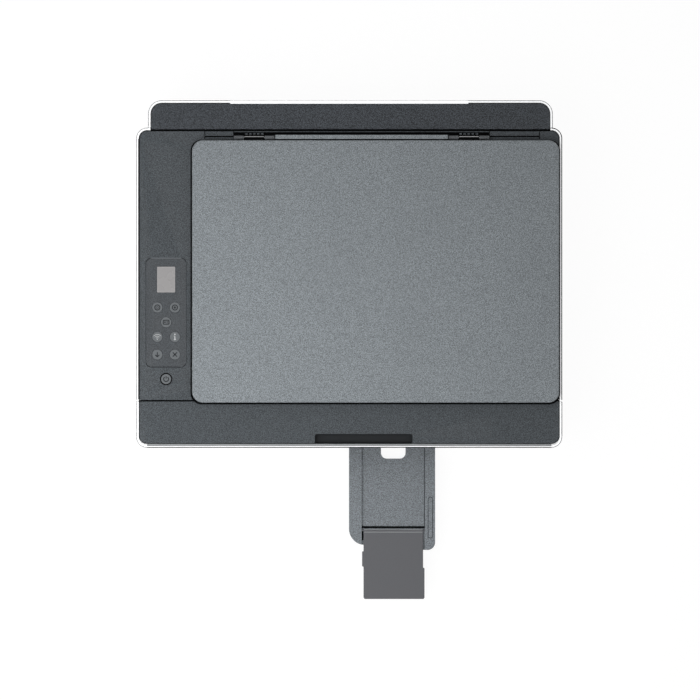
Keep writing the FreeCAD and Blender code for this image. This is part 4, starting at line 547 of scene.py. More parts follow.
FINISHES = (
    (casing_white, (
        "base_pan",
        "front_fascia",
        "left_side_cover",
        "right_side_cover",
        "door_shell",
    )),
    (rear_white, ("rear_cover",)),
    (deck_lit_knuckles, ("scanner_deck",)),
    (deck_grey, ("door_top", "output_tray")),
    (strip_grey, ("paper_support",)),
    (lid_grey, ("lid_shell",)),
    (overlay_grey, ("control_overlay",)),
    (tray_grey, ("tray_extender",)),
    (flap_grey, ("tray_flap",)),
    # painted shade: the hinge arms are black, as the hinge's hollow in shade
    (shade_black, ("lid_hinge_arms",)),
    (dark_plastic, (
        "platen",
        "service_station",
        "power_supply",
        "power_inlet",
        "data_socket",
        "scanner_base",
        "scan_carriage",
        "print_carriage",
    )),
    (inner_grey, ("paper_chute", "left_paper_guide", "right_paper_guide", "tank_holder")),
    (foot_rubber, ("rubber_feet",)),
    (sheet_steel, ("chassis", "carriage_rail", "casing_screws")),
    (motor_steel, ("carriage_motor", "feed_motor")),
    (bright_steel, ("scan_rod", "lid_hinge_pins", "motor_pulley")),
    (belt_rubber, ("carriage_belt", "drive_belt")),
    (scan_pane, ("scan_glass",)),
    (smoky_pane, ("ink_window",)),
    (tank_plastic, ("ink_tanks",)),
    (display_pane, ("display_window",)),
    (white_foam, ("lid_pad",)),
    (main_board_finish, ("main_board",)),
    (control_board_finish, ("control_board",)),
    (ringed_key, ("mono_copy_key", "colour_copy_key", "card_copy_key", "power_key")),
    (plain_key, ("wireless_key", "info_key", "resume_key", "cancel_key")),
)


def finish(obj, material):
    obj.data.materials.clear()
    obj.data.materials.append(material)


for material, names in FINISHES:
    for name in names:
        finish(nodes[name], material)
for name in ("discharge_roller", "feed_roller", "pick_roller"):
    finish(nodes[name], roller(name))
for name, material in cap_finishes.items():
    finish(nodes[name + "_tank_cap"], material)


# Mesh building blocks

ROUND = 0.1 * MM  # rounding of a plain edge
WELD = 0.001 * MM
CORNER_STEPS = 8


def placed(name, mesh):
    """Turn a bmesh in the part's frame into an object."""
    data = bpy.data.meshes.new(name)
    mesh.to_mesh(data)
    mesh.free()
    obj = bpy.data.objects.new(name, data)
    bpy.context.scene.collection.objects.link(obj)
    return obj


def piece(name, mesh, material, body):
    """Turn a bmesh into a piece that rides on a body."""
    bmesh.ops.recalc_face_normals(mesh, faces=mesh.faces)
    obj = placed(name, mesh)
    obj.data.materials.append(material)
    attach(obj, body)


def block(mesh, low, high, rounding=ROUND, segments=2):
    """A block with rounded edges between two corners."""
    corners = bmesh.ops.create_cube(mesh, size=1.0)["verts"]
    low, high = Vector(low), Vector(high)
    size = high - low
    for corner in corners:
        corner.co = (low + high) / 2 + Vector(a * b for a, b in zip(corner.co, size))
    edges = {edge for corner in corners for edge in corner.link_edges}
    bmesh.ops.bevel(
        mesh,
        geom=list(edges),
        offset=rounding,
        segments=segments,
        affect="EDGES",
        profile=0.5,
    )


def flat(mesh, outline, low, high):
    """A flat piece between two heights with the given outline seen from above."""
    base = mesh.faces.new([mesh.verts.new((x, y, low)) for x, y in outline])
    raised = bmesh.ops.extrude_face_region(mesh, geom=[base])["geom"]
    top = [item for item in raised if isinstance(item, bmesh.types.BMVert)]
    bmesh.ops.translate(mesh, verts=top, vec=(0.0, 0.0, high - low))


def strip(mesh, points, width, low, high, closed=False):
    """A line of even width along points seen from above."""
    count = len(points)
    left, right = [], []
    for index, point in enumerate(points):
        before = points[index - 1] if index or closed else point
        after = points[(index + 1) % count] if index < count - 1 or closed else point
        along = Vector((after[0] - before[0], after[1] - before[1])).normalized()
        across = Vector((-along.y, along.x)) * width / 2
        here = Vector(point)
        left.append(here + across)
        right.append(here - across)
    last = count if closed else count - 1
    for index in range(last):
        after = (index + 1) % count
        flat(mesh, (right[index], right[after], left[after], left[index]), low, high)


def arc(centre, radius, start, end, steps=16):
    """Points of an arc between two angles in degrees."""
    points = []
    for index in range(steps + 1):
        angle = math.radians(start + (end - start) * index / steps)
        points.append((centre[0] + radius * math.cos(angle), centre[1] + radius * math.sin(angle)))
    return points


def circle(centre, radius, steps=28):
    return arc(centre, radius, 0, 360, steps)[:-1]


def round_corners(low, high, radius):
    """The centre and the first angle of each round corner of a rectangle."""
    left, front = low[0] + radius, low[1] + radius
    right, rear = high[0] - radius, high[1] - radius
    return ((right, rear), 0), ((left, rear), 90), ((left, front), 180), ((right, front), 270)


def rounded_rectangle(low, high, radius):
    """Outline of a rectangle with round corners."""
    points = []
    for centre, start in round_corners(low, high, radius):
        points.extend(arc(centre, radius, start, start + 90, CORNER_STEPS))
    return points


def wall(mesh, outer, inner, low, high):
    """A closed wall between two outlines with the same number of points."""
    count = len(outer)
    for index in range(count):
        after = (index + 1) % count
        flat(mesh, (outer[index], outer[after], inner[after], inner[index]), low, high)
    bmesh.ops.remove_doubles(mesh, verts=mesh.verts, dist=WELD)


# Printed signs on the keys

INK_DEPTH = 0.05 * MM
LINE = 0.55 * MM
THIN = LINE * 0.85
BOLD = 0.95 * MM


def sign_start(mesh, low, high, filled):
    """A ring around a diamond: start a copy."""
    ring = 2.6 * MM
    half = 1.4 * MM
    diamond = ((half, 0), (0, half), (-half, 0), (0, -half))
    strip(mesh, circle((0, 0), ring), BOLD, low, high, closed=True)
    if filled:
        flat(mesh, diamond, low, high)
    else:
        strip(mesh, diamond, LINE, low, high, closed=True)


def sign_mono(mesh, low, high):
    sign_start(mesh, low, high, False)


def sign_colour(mesh, low, high):
    sign_start(mesh, low, high, True)


def sign_card(mesh, low, high):
    """A card with a portrait mark and two lines."""
    width, depth, corner = 2.9 * MM, 2.0 * MM, 0.5 * MM
    portrait, portrait_radius = (-1.2 * MM, 0.1 * MM), 0.8 * MM
    line_start, line_end, line_y = 0.4 * MM, 2.0 * MM, 0.6 * MM
    card = rounded_rectangle((-width, -depth), (width, depth), corner)
    strip(mesh, card, BOLD, low, high, closed=True)
    flat(mesh, circle(portrait, portrait_radius), low, high)
    for y in (line_y, -line_y):
        strip(mesh, ((line_start, y), (line_end, y)), LINE, low, high)


def sign_wireless(mesh, low, high):
    """Three arcs over a dot."""
    foot, dot = (0, -2.3 * MM), 0.5 * MM
    start, end = 42, 138
    flat(mesh, circle(foot, dot), low, high)
    for radius in (1.6 * MM, 3.1 * MM, 4.8 * MM):
        strip(mesh, arc(foot, radius, start, end), THIN, low, high)


def sign_info(mesh, low, high):
    """A dot over a stem with a foot."""
    dot, dot_radius = (0, 2.7 * MM), 0.7 * MM
    stem = ((0, 1.0 * MM), (0, -2.6 * MM))
    shoulder = ((-1.1 * MM, 0.9 * MM), (0.4 * MM, 0.9 * MM))
    foot = ((-1.2 * MM, -2.8 * MM), (1.2 * MM, -2.8 * MM))
    flat(mesh, circle(dot, dot_radius), low, high)
    strip(mesh, stem, BOLD, low, high)
    strip(mesh, shoulder, LINE, low, high)
    strip(mesh, foot, LINE, low, high)


def sign_resume(mesh, low, high):
    """An arrow that points down."""
    stem = ((0, 2.4 * MM), (0, -2.0 * MM))
    tip = (0, -2.4 * MM)
    wing_x, wing_y = 2.1 * MM, -0.3 * MM
    strip(mesh, stem, BOLD, low, high)
    for side in (-1, 1):
        strip(mesh, (tip, (side * wing_x, wing_y)), BOLD, low, high)


def sign_cancel(mesh, low, high):
    """A cross."""
    reach = 2.2 * MM
    for side in (-1, 1):
        strip(mesh, ((-reach, -side * reach), (reach, side * reach)), BOLD, low, high)


def sign_power(mesh, low, high):
    """A broken ring with a stroke in the gap."""
    ring, start, end, steps = 2.5 * MM, 125, 415, 28
    stroke = ((0, 3.0 * MM), (0, 0.4 * MM))
    strip(mesh, arc((0, 0), ring, start, end, steps), BOLD, low, high)
    strip(mesh, stroke, BOLD, low, high)


SIGNS = {
    "mono_copy_key": (sign_mono, print_dark),
    "colour_copy_key": (sign_colour, print_dark),
    "card_copy_key": (sign_card, print_dark),
    "wireless_key": (sign_wireless, print_light),
    "info_key": (sign_info, print_light),
    "resume_key": (sign_resume, print_dark),
    "cancel_key": (sign_cancel, print_dark),
    "power_key": (sign_power, print_dark),
}


def add_signs():
    """A printed sign on top of each key."""
    for name, (draw, material) in SIGNS.items():
        low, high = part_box(name)
        middle = (low + high) / 2
        mesh = bmesh.new()
        draw(mesh, high.z - INK_DEPTH, high.z + INK_DEPTH)
        bmesh.ops.translate(mesh, verts=mesh.verts, vec=(middle.x, middle.y, 0.0))
        piece(name + "_sign", mesh, material, name)


# Painted shadow around the lid, and hinge details

END_GAP = 0.3 * MM  # left free at the end of a bar or a line
LID_CORNER = 11 * MM
HINGE_WIDTH = 20.5 * MM
KNUCKLE_RADIUS = 2.1 * MM
KNUCKLE_WIDTH = 10 * MM
SPRING_Y = (0.4 * MM, 1.3 * MM)  # behind the hinge axis
SPRING_Z = (-0.5 * MM, 0.1 * MM)  # from the top of the arms
BAR_ROUND = 0.2 * MM
TOOTH_COUNT = 5
TOOTH_HALF = 1.4 * MM
TOOTH_Y = (0.6 * MM, 3.0 * MM)  # behind the arms
TOOTH_TOP = SURFACE + 1.2 * MM
TOOTH_ROUND = 0.7 * MM
CHANNEL_FLOOR = SURFACE - 1.6 * MM
RIDGE_INSET = 0.9 * MM
SHADE_SHEET_FRONT = 0.6 * MM  # behind the lid, as are all places in the channel and the rests
SHADE_SHEET_HEIGHT = 0.3 * MM
CHANNEL_RIB_Y = 7.3 * MM
CHANNEL_RIB_WIDTH = 0.7 * MM
CHANNEL_RIB_HEIGHT = 0.8 * MM
REST_X = {"left": (-29.7 * MM, -0.4 * MM), "right": (0.5 * MM, 51.3 * MM)}  # from the pins' ends
REST_FOOT = SURFACE - 0.1 * MM
REST_TOP = SURFACE + 0.6 * MM
REST_FRONT = 2.0 * MM
REST_BARS = ((REST_FRONT, 3.7 * MM), (5.0 * MM, 9.5 * MM))
SLOT_Y = (3.4 * MM, 5.3 * MM)
SLOT_TOP = SURFACE + 0.1 * MM
SLOT_ROUND = 0.05 * MM
REST_END_HALF = 0.4 * MM
REST_END_PROUD = 0.05 * MM
REST_END_REAR = 0.6 * MM


def add_lid_shadow_line():
    """A black frame under the lid that shows as a thin line around it, and a black block in the gap
    behind it: painted shadow.
    """
    low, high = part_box("lid_shell")
    arms_low, arms_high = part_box("lid_hinge_arms")
    rear = arms_low.y
    proud = 1.8 * MM
    proud_right = 1.5 * MM
    proud_rear = 0.7 * MM
    wall_width = 1.5 * MM
    wall_bottom = low.z - 0.2 * MM
    wall_top = low.z + 3.2 * MM
    gap_depth = 1.3 * MM
    gap_bottom = low.z + 3 * MM
    gap_top = low.z + 8.4 * MM
    inset = HINGE_WIDTH + KNUCKLE_WIDTH + 1 * MM
    outer_low = (low.x - proud, low.y - proud)
    outer_high = (high.x + proud_right, rear + proud_rear)
    inner_low = (low.x + wall_width, low.y + wall_width)
    inner_high = (high.x - wall_width, rear - wall_width)
    outer = rounded_rectangle(outer_low, outer_high, LID_CORNER)
    inner = rounded_rectangle(inner_low, inner_high, LID_CORNER - wall_width)
    mesh = bmesh.new()
    wall(mesh, outer, inner, wall_bottom, wall_top)
    gap_low = (arms_low.x + inset, rear, gap_bottom)
    block(mesh, gap_low, (arms_high.x - inset, rear + gap_depth, gap_top))
    # painted shadow: the black frame stands in for the shadow gap at the lid's edges
    piece("lid_shadow_line", mesh, shade_black, "lid")


def add_hinge_details():
    """A bright spring bar on each hinge arm and a row of teeth on the deck behind it."""
    low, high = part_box("lid_hinge_arms")
    axis_y = high.y - KNUCKLE_RADIUS
    pitch = HINGE_WIDTH / TOOTH_COUNT
    for side, left in (("left", low.x), ("right", high.x - HINGE_WIDTH)):
        bar = bmesh.new()
        block(
            bar,
            (left + END_GAP, axis_y + SPRING_Y[0], high.z + SPRING_Z[0]),
            (left + HINGE_WIDTH - END_GAP, axis_y + SPRING_Y[1], high.z + SPRING_Z[1]),
            BAR_ROUND,
        )
        piece(side + "_hinge_spring", bar, bright_steel, "lid")
        teeth = bmesh.new()
        for index in range(TOOTH_COUNT):
            x = left + pitch * (index + 0.5)
            block(
                teeth,
                (x - TOOTH_HALF, high.y + TOOTH_Y[0], CHANNEL_FLOOR),
                (x + TOOTH_HALF, high.y + TOOTH_Y[1], TOOTH_TOP),
                TOOTH_ROUND,
                segments=3,
            )
        piece(side + "_hinge_teeth", teeth, deck_grey, "printer")


def add_hinge_channel():
    """A black ribbed sheet that paints the shade in the channel between the hinges, and a slotted
    rest beside each, with painted shade in its slot and at its ends.
    """
    pins_low, pins_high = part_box("lid_hinge_pins")
    lid_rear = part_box("lid_hinge_arms")[0].y
    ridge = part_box("scanner_deck")[1].y - RIDGE_INSET
    rib = lid_rear + CHANNEL_RIB_Y
    # painted shade: a black sheet and rib on the channel's floor
    shade_sheet = bmesh.new()
    block(
        shade_sheet,
        (pins_low.x, lid_rear + SHADE_SHEET_FRONT, CHANNEL_FLOOR),
        (pins_high.x, ridge, CHANNEL_FLOOR + SHADE_SHEET_HEIGHT),
    )
    block(
        shade_sheet,
        (pins_low.x, rib, CHANNEL_FLOOR),
        (pins_high.x, rib + CHANNEL_RIB_WIDTH, CHANNEL_FLOOR + CHANNEL_RIB_HEIGHT),
        BAR_ROUND,
    )
    piece("hinge_channel_shade_sheet", shade_sheet, shade_black, "printer")
    for side, pin_end in (("left", pins_low.x), ("right", pins_high.x)):
        left, right = (pin_end + offset for offset in REST_X[side])
        # painted shade: black in the rest's slot and at its two ends
        slot = bmesh.new()
        slot_low = (left, lid_rear + SLOT_Y[0], REST_FOOT)
        block(slot, slot_low, (right, lid_rear + SLOT_Y[1], SLOT_TOP), SLOT_ROUND)
        for end in (left, right):
            block(
                slot,
                (end - REST_END_HALF, lid_rear + REST_FRONT, REST_FOOT),
                (end + REST_END_HALF, ridge + REST_END_REAR, REST_TOP + REST_END_PROUD),
            )
        piece(side + "_rest_slot", slot, shade_black, "printer")
        bars = bmesh.new()
        for front, rear in REST_BARS:
            bar_low = (left, lid_rear + front, REST_FOOT)
            block(bars, bar_low, (right, lid_rear + rear, REST_TOP), BAR_ROUND)
        piece(side + "_rest_bars", bars, deck_grey, "printer")


# Painted shade in the gaps, lines and grips around the deck

RIM_GAP = 1.2 * MM
RIM_SHADE_STRIP = 0.55 * MM
RIM_SHADE_STRIP_FRONT = 0.5 * MM
INLAY_FOOT = SURFACE - 0.1 * MM  # a line let into the surface starts here
FLUSH_TOP = SURFACE + 0.03 * MM
PROUD_TOP = SURFACE + 0.05 * MM
SHADE_STRIP_BOTTOM = SURFACE - 2.6 * MM
SHADE_STRIP_TOP = SURFACE - 2.0 * MM
HOUSING_WALL = 2.6 * MM
REAR_SEAM = (-0.1 * MM, 1.9 * MM)  # from the deck's rear edge
FRONT_SEAM = (-1.3 * MM, 0.1 * MM)  # from its front edge
FRONT_SEAM_REACH = 1.1 * MM
DOOR_CORNER = 7.8 * MM
SIDE_LINE = 0.9 * MM
DOOR_LINE = 0.65 * MM
SIDE_LINE_LEVELS = (SURFACE - 0.9 * MM, SURFACE - 0.06 * MM)
EDGE_INSET = 0.02 * MM  # keeps a line off the face it runs along
CASING_CORNER = 11 * MM
CASING_CORNER_STEPS = 12
GRIP_HALF = 121.3 * MM
GRIP_FRONT = 0.6 * MM
GRIP_REAR = 0.4 * MM
GRIP_TOP = SURFACE - 0.1 * MM
GRIP_HEIGHT = 0.8 * MM
GRIP_ROUND = 0.25 * MM
PANEL_CORNER = 5.5 * MM
PANEL_LINE = 1.0 * MM
PANEL_LEVELS = (SURFACE - 0.05 * MM, SURFACE + 0.04 * MM)
PANEL_ARC = (15, 75)  # degrees of each round corner that are drawn
PANEL_ARC_STEPS = 6


def add_seam_shade_strip(name, left, right, front, rear):
    """One black strip deep in a gap: painted shade."""
    mesh = bmesh.new()
    block(mesh, (left, front, SHADE_STRIP_BOTTOM), (right, rear, SHADE_STRIP_TOP))
    piece(name, mesh, shade_black, "printer")


def add_shade_strips():
    """Black strips that paint the shade in the gaps behind, in front of and beside the deck."""
    deck_low, deck_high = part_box("scanner_deck")
    housing_low, housing_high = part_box("rear_cover")
    add_seam_shade_strip(
        "rear_seam_shade_strip",
        housing_low.x + HOUSING_WALL,
        housing_high.x - HOUSING_WALL,
        deck_high.y + REAR_SEAM[0],
        deck_high.y + REAR_SEAM[1],
    )
    add_seam_shade_strip(
        "front_seam_shade_strip",
        deck_low.x - FRONT_SEAM_REACH,
        deck_high.x + FRONT_SEAM_REACH,
        deck_low.y + FRONT_SEAM[0],
        deck_low.y + FRONT_SEAM[1],
    )
    line_x = deck_low.x - RIM_GAP - RIM_SHADE_STRIP / 2
    ends = ((line_x, deck_low.y + RIM_SHADE_STRIP_FRONT), (line_x, deck_high.y - DOOR_CORNER))
    beside = bmesh.new()
    strip(beside, ends, RIM_SHADE_STRIP, INLAY_FOOT, FLUSH_TOP)
    piece("left_rim_shade_strip", beside, shade_black, "printer")


def add_right_rim_line():
    """The shadow line along the right side and the rear right corner of the casing's rim."""
    low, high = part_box("right_side_cover")
    line_x = high.x - SIDE_LINE / 2 - EDGE_INSET
    centre = (high.x - CASING_CORNER, high.y - CASING_CORNER)
    points = [(line_x, low.y + END_GAP)]
    points.extend(arc(centre, line_x - centre[0], 0, 90, CASING_CORNER_STEPS))
    mesh = bmesh.new()
    strip(mesh, points, SIDE_LINE, *SIDE_LINE_LEVELS)
    piece("right_rim_line", mesh, shade_black, "printer")


def add_support_grip():
    """The pale grip edge along the middle of the paper support's cap."""
    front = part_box("paper_support")[1].y - GRIP_FRONT
    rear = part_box("rear_cover")[1].y - GRIP_REAR
    mesh = bmesh.new()
    grip_low = (-GRIP_HALF, front, GRIP_TOP - GRIP_HEIGHT)
    block(mesh, grip_low, (GRIP_HALF, rear, GRIP_TOP), GRIP_ROUND)
    piece("support_grip_edge", mesh, rear_white, "paper_support")


def add_panel_lines():
    """A painted highlight along the panel's rear edge, and painted shade along its front edge and
    corners.
    """
    low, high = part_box("control_overlay")
    left = low.x + PANEL_CORNER
    right = high.x - PANEL_CORNER
    mesh = bmesh.new()
    strip(mesh, ((left, low.y), (right, low.y)), PANEL_LINE, *PANEL_LEVELS)
    for centre, start in round_corners(low, high, PANEL_CORNER):
        angles = (start + PANEL_ARC[0], start + PANEL_ARC[1])
        strip(mesh, arc(centre, PANEL_CORNER, *angles, PANEL_ARC_STEPS), PANEL_LINE, *PANEL_LEVELS)
    piece("panel_shadow_lines", mesh, line_dark, "printer")
    # painted highlight along the panel's rear edge
    light = bmesh.new()
    strip(light, ((left, high.y), (right, high.y)), PANEL_LINE, *PANEL_LEVELS)
    piece("panel_highlight_line", light, highlight_pale, "printer")


# Front door

FIT = 0.25 * MM  # gap between fitted panels
LIP_DEPTH = 1.4 * MM
LIP_LEVELS = (SURFACE - 1.2 * MM, SURFACE - 1.05 * MM)
RIM_WIDTH = 2.5 * MM
RIM_SHADE_LINE = 0.8 * MM
EDGE_LINE = 0.9 * MM
EDGE_LINE_FOOT = SURFACE - 0.5 * MM
DOOR_GAP = 0.7 * MM
DOOR_SHADE_STRIP = 1.2 * MM
DOOR_SHADE_STRIP_REAR = 2 * MM
DOOR_SHADE_STRIP_LEVELS = (SURFACE - 3.1 * MM, SURFACE - 2.9 * MM)  # about the underside of the top
CUP_X = (-35 * MM, 64.5 * MM)
CUP_DEPTH = 9.9 * MM
CUP_CORNER = 2.5 * MM
CUP_FLOOR = SURFACE - 9.4 * MM
CUP_TOP = SURFACE - 0.7 * MM
CUP_SHEET = 0.2 * MM


def add_door_lines():
    """Grey strips that paint the shade on the lip in front of the door's top and on the rim, and
    black lines that paint the shadow along the door's edges.
    """
    low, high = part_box("door_top")
    left = low.x + DOOR_CORNER
    right = high.x - DOOR_CORNER
    lip_rear = low.y - FIT
    rim_rear = lip_rear - LIP_DEPTH
    line_y = lip_rear - LIP_DEPTH / 2
    rim_y = rim_rear - RIM_SHADE_LINE / 2
    edge_y = rim_rear - RIM_WIDTH + EDGE_LINE / 2 + EDGE_INSET
    # painted shade: grey on the white lip and on the rim's inner edge
    lip_shade = bmesh.new()
    strip(lip_shade, ((left, line_y), (right, line_y)), LIP_DEPTH, *LIP_LEVELS)
    strip(lip_shade, ((left, rim_y), (right, rim_y)), RIM_SHADE_LINE, INLAY_FOOT, PROUD_TOP)
    piece("door_lip_shade", lip_shade, shade_and_highlight_grey, "front_door")
    # painted shadow: black lines at the door's front and side edges
    edge = bmesh.new()
    strip(edge, ((left, edge_y), (right, edge_y)), EDGE_LINE, EDGE_LINE_FOOT, FLUSH_TOP)
    side_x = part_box("door_shell")[1].x - DOOR_LINE / 2 - EDGE_INSET
    side_ends = ((side_x, high.y - END_GAP), (side_x, lip_rear + DOOR_CORNER))
    strip(edge, side_ends, DOOR_LINE, *SIDE_LINE_LEVELS)
    piece("door_edge_line", edge, shade_black, "front_door")


def add_door_shade_strip():
    """A black strip that paints the shade in the gap around the door's top."""
    low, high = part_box("door_top")
    radius = DOOR_CORNER + DOOR_GAP / 2
    corner_y = low.y - FIT + DOOR_GAP + DOOR_CORNER
    rear = high.y - DOOR_SHADE_STRIP_REAR
    path = [(low.x - DOOR_GAP / 2, rear)]
    path.extend(arc((low.x + DOOR_CORNER, corner_y), radius, 180, 270, CORNER_STEPS))
    path.extend(arc((high.x - DOOR_CORNER, corner_y), radius, 270, 360, CORNER_STEPS))
    path.append((high.x + DOOR_GAP / 2, rear))
    shade_strip = bmesh.new()
    strip(shade_strip, path, DOOR_SHADE_STRIP, *DOOR_SHADE_STRIP_LEVELS)
    piece("door_gap_shade_strip", shade_strip, shade_black, "front_door")


def add_cup_shade_sheet():
    """A dark sheet in the door's finger cup that paints the shade in it."""
    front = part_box("door_top")[0].y
    rear = front + CUP_DEPTH
    outer = rounded_rectangle((CUP_X[0], front), (CUP_X[1], rear), CUP_CORNER)
    inner_low = (CUP_X[0] + CUP_SHEET, front + CUP_SHEET)
    inner_high = (CUP_X[1] - CUP_SHEET, rear - CUP_SHEET)
    inner = rounded_rectangle(inner_low, inner_high, CUP_CORNER - CUP_SHEET)
    shade_sheet = bmesh.new()
    wall(shade_sheet, outer, inner, CUP_FLOOR, CUP_TOP)
    flat(shade_sheet, inner, CUP_FLOOR, CUP_FLOOR + CUP_SHEET)
    piece("finger_cup_shade_sheet", shade_sheet, cup_dark, "front_door")


# Output tray

FLAP_HALF = 1.5 * MM  # half the flap's thickness
FLAP_PIN = 4.4 * MM
FLAP_GAP = 1.9 * MM
SIDE_PLAY = 0.1 * MM
RECESS_DROP = 0.4 * MM  # from the flap's underside to the recess it lies in
GROOVE_DROP = 1.6 * MM
GROOVE_Y = (0.5 * MM, 2.9 * MM)  # behind the flap
GROOVE_SHADE_SHEET = 0.6 * MM
SLIT_FRONT = 10.2 * MM
SLIT_REAR = 0.4 * MM
SLIT_HEIGHT = 0.15 * MM
SLIT_ROUND = 0.05 * MM
RECESS_LINE = 0.6 * MM
RECESS_LINE_REAR = 6 * MM
RECESS_LINE_HEIGHT = 0.1 * MM
RECESS_LINE_ROUND = 0.04 * MM
RIB_INSET = 5 * MM
RIB_WIDTH = 4.2 * MM
RIB_FRONT = 12.8 * MM
RIB_LENGTH = 42.6 * MM
RIB_GROOVE = 0.5 * MM
RIB_DROP = 0.9 * MM
RIB_LINE_HEIGHT = 0.3 * MM
FLAP_LINES = ((1.0 * MM, 1.2 * MM), (-1.5 * MM, 1.55 * MM))  # behind and above the flap's axis
FLAP_LINE_HALF = 0.35 * MM
FLAP_LINE_INSET = 0.6 * MM
FLAP_LINE_HEIGHT = 0.3 * MM


def add_recess_lines():
    """Dark lines that paint the shade in the grooves around the recess that the flap lies in."""
    low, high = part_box("tray_extender")
    flap_low, flap_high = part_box("tray_flap")
    flap_left = flap_low.x + FLAP_PIN
    left = flap_left - FLAP_GAP + SIDE_PLAY
    right = flap_high.x - FLAP_PIN + FLAP_GAP - SIDE_PLAY
    recess = flap_low.z - RECESS_DROP
    groove = recess - GROOVE_DROP
    groove_front = flap_high.y + GROOVE_Y[0]
    groove_rear = flap_high.y + GROOVE_Y[1]
    dark = bmesh.new()
    block(dark, (left, groove_front, groove), (right, groove_rear, groove + GROOVE_SHADE_SHEET))
    slit_low = (left, low.y + SLIT_FRONT, recess)
    slit_high = (flap_left - SIDE_PLAY, flap_high.y + SLIT_REAR, recess + SLIT_HEIGHT)
    block(dark, slit_low, slit_high, SLIT_ROUND)
    piece("hinge_groove_shade_sheet", dark, shade_black, "extender")
    edge = bmesh.new()
    edge_low = (right - RECESS_LINE, groove_rear, recess)
    edge_high = (right, high.y - RECESS_LINE_REAR, recess + RECESS_LINE_HEIGHT)
    block(edge, edge_low, edge_high, RECESS_LINE_ROUND)
    piece("recess_edge_line", edge, line_dark, "extender")


def add_rib_outline():
    """A dark line that paints the shade in the groove around the extender's grip rib."""
    low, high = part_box("tray_extender")
    rib_x = high.x - RIB_INSET
    half = RIB_WIDTH / 2
    corner = half - SIDE_PLAY
    rib_low = (rib_x - half, low.y + RIB_FRONT)
    rib_high = (rib_x + half, low.y + RIB_FRONT + RIB_LENGTH)
    outer_low = (rib_low[0] - RIB_GROOVE, rib_low[1] - RIB_GROOVE)
    outer_high = (rib_high[0] + RIB_GROOVE, rib_high[1] + RIB_GROOVE)
    outer = rounded_rectangle(outer_low, outer_high, corner + RIB_GROOVE)
    inner = rounded_rectangle(rib_low, rib_high, corner)
    bottom = high.z - RIB_DROP
    outline = bmesh.new()
    wall(outline, outer, inner, bottom, bottom + RIB_LINE_HEIGHT)
    piece("grip_rib_outline", outline, shade_black, "extender")


def add_flap_lines():
    """Two pale lines on the flap's hinge: painted highlights on its barrel."""
    flap_low, flap_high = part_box("tray_flap")
    left = flap_low.x + FLAP_PIN + FLAP_LINE_INSET
    right = flap_high.x - FLAP_PIN - FLAP_LINE_INSET
    lines = bmesh.new()
    for offset, rise in FLAP_LINES:
        y = flap_high.y - FLAP_HALF + offset
        top = flap_low.z + FLAP_HALF + rise
        line_low = (left, y - FLAP_LINE_HALF, top - FLAP_LINE_HEIGHT)
        block(lines, line_low, (right, y + FLAP_LINE_HALF, top))
    piece("flap_hinge_highlights", lines, shade_and_highlight_grey, "flap")


# Rear sockets and ink

CONTACT_PARTS = 5  # a socket's width over this is a contact's offset or half width
PIN_HALF = 1.1 * MM
PIN_DEPTH = (11 * MM, 2 * MM)  # from the socket's face to the pin's foot and tip
PIN_ROUND = 0.9 * MM
TONGUE_HALF = 1.4 * MM
TONGUE_DEPTH = (8 * MM, 1.5 * MM)
TONGUE_ROUND = 0.4 * MM
TANKS = {  # width of each tank, and the share of its height that is filled
    "black": (48 * MM, 0.62),
    "cyan": (36 * MM, 0.74),
    "magenta": (36 * MM, 0.55),
    "yellow": (36 * MM, 0.68),
}
TANK_DEPTH = 38 * MM
TANK_HEIGHT = 27 * MM
TANK_WALL = 1.9 * MM
TANK_SPACE = 3 * MM
INK_ROUND = 0.5 * MM


def add_socket_contacts():
    """Two round pins in the power inlet and a tongue in the data socket."""
    low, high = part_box("power_inlet")
    middle = (low + high) / 2
    pins = bmesh.new()
    for side in (-1, 1):
        x = middle.x + side * (high.x - low.x) / CONTACT_PARTS
        block(
            pins,
            (x - PIN_HALF, high.y - PIN_DEPTH[0], middle.z - PIN_HALF),
            (x + PIN_HALF, high.y - PIN_DEPTH[1], middle.z + PIN_HALF),
            PIN_ROUND,
            segments=4,
        )
    piece("power_inlet_pins", pins, bright_steel, "printer")
    low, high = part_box("data_socket")
    middle = (low + high) / 2
    half = (high.x - low.x) / CONTACT_PARTS
    tongue = bmesh.new()
    block(
        tongue,
        (middle.x - half, high.y - TONGUE_DEPTH[0], middle.z - TONGUE_HALF),
        (middle.x + half, high.y - TONGUE_DEPTH[1], middle.z + TONGUE_HALF),
        TONGUE_ROUND,
    )
    piece("data_socket_tongue", tongue, print_light, "printer")


def add_tank_ink():
    """The ink in each tank, filled to its own level."""
    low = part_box("ink_tanks")[0]
    left = low.x
    for name, (width, level) in TANKS.items():
        mesh = bmesh.new()
        top = low.z + TANK_WALL + TANK_HEIGHT * level
        block(
            mesh,
            (left + TANK_WALL, low.y + TANK_WALL, low.z + TANK_WALL),
            (left + width - TANK_WALL, low.y + TANK_DEPTH - TANK_WALL, top),
            INK_ROUND,
        )
        piece(name + "_ink_fill", mesh, inks[name], "printer")
        left += width + TANK_SPACE


# Stage, light and camera

FLOOR_SIZE = 6.0
FLOOR_ROUGHNESS = 0.9
FLOOR_GLOW = 1.06
FLOOR_GLOW_SHARE = 0.88
FILL_RISE = (0.0, 0.9)  # from the horizon to nearly overhead
FILL_LEVELS = (0.2, 0.5)  # light of the surroundings at those two
LAMP_PLACE = (-0.4, -0.25, 0.95)
LAMP_AIM = (-0.3, -0.2, 0.15)
LAMP_WIDTH = 1.0
LAMP_SPREAD = math.radians(90)
LAMP_POWER = 3.0
CAMERA_MIDDLE = (0.8 * MM, 3.55 * MM)
CAMERA_RISE = 3.5
CAMERA_REACH = 50.0
FIELD = 713 * MM
SENSOR = 36.0


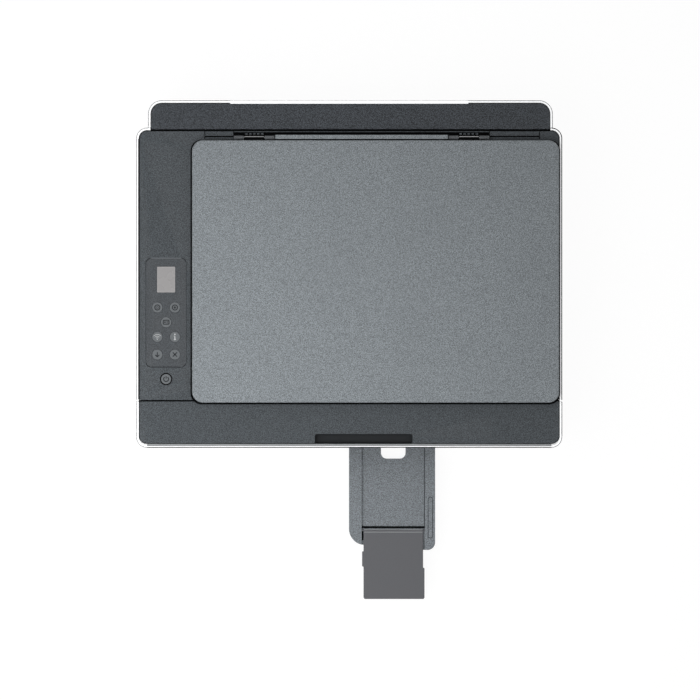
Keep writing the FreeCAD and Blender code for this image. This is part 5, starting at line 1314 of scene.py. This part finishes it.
def add_floor():
    """A pale floor that stays white to the eye and keeps the shadow of the part."""
    mesh = bmesh.new()
    bmesh.ops.create_grid(mesh, x_segments=1, y_segments=1, size=FLOOR_SIZE)
    floor = placed("floor", mesh)
    material, tree, shader = new_material("pale_floor")
    surface(tree, shader, FLOOR_WHITE, FLOOR_ROUGHNESS)
    glow = tree.nodes.new("ShaderNodeEmission")
    glow.inputs["Strength"].default_value = FLOOR_GLOW
    path = tree.nodes.new("ShaderNodeLightPath")
    seen = calc(tree, "MAXIMUM", path.outputs["Is Camera Ray"], path.outputs["Is Glossy Ray"])
    seen = calc(tree, "MAXIMUM", seen, path.outputs["Is Transmission Ray"])
    blend = tree.nodes.new("ShaderNodeMixShader")
    put(tree, blend.inputs[0], calc(tree, "MULTIPLY", seen, FLOOR_GLOW_SHARE))
    put(tree, blend.inputs[1], shader.outputs["BSDF"])
    put(tree, blend.inputs[2], glow.outputs["Emission"])
    put(tree, tree.nodes["Material Output"].inputs["Surface"], blend.outputs["Shader"])
    floor.data.materials.append(material)


def add_light():
    """A dim surround that is brighter overhead, and one large softbox at the front left."""
    world = bpy.data.worlds.new("studio")
    world.use_nodes = True
    tree = world.node_tree
    background = tree.nodes["Background"]
    rise = axis_of(tree, coordinates(tree, "Generated"), "Z")
    put(tree, background.inputs["Color"], LIGHT_WHITE)
    put(tree, background.inputs["Strength"], remap(tree, rise, FILL_RISE, FILL_LEVELS))
    bpy.context.scene.world = world
    lamp = bpy.data.lights.new("softbox", "AREA")
    lamp.size = LAMP_WIDTH
    lamp.spread = LAMP_SPREAD
    lamp.energy = LAMP_POWER
    softbox = bpy.data.objects.new("softbox", lamp)
    softbox.location = LAMP_PLACE
    aim = Vector(LAMP_AIM) - softbox.location
    softbox.rotation_euler = aim.to_track_quat("-Z", "Y").to_euler()
    softbox.visible_glossy = False
    bpy.context.scene.collection.objects.link(softbox)


def add_camera():
    """Straight above the printer, with its rear at the top of the picture."""
    data = bpy.data.cameras.new("camera")
    data.sensor_width = SENSOR
    data.lens = SENSOR * CAMERA_RISE / FIELD
    data.clip_end = CAMERA_REACH
    camera = bpy.data.objects.new("camera", data)
    camera.location = (*CAMERA_MIDDLE, SURFACE + CAMERA_RISE)
    bpy.context.scene.collection.objects.link(camera)
    bpy.context.scene.camera = camera


add_signs()
add_lid_shadow_line()
add_hinge_details()
add_hinge_channel()
add_shade_strips()
add_right_rim_line()
add_support_grip()
add_panel_lines()
add_door_lines()
add_door_shade_strip()
add_cup_shade_sheet()
add_recess_lines()
add_rib_outline()
add_flap_lines()
add_socket_contacts()
add_tank_ink()
add_floor()
add_light()
add_camera()
bpy.context.scene.view_settings.view_transform = "Standard"
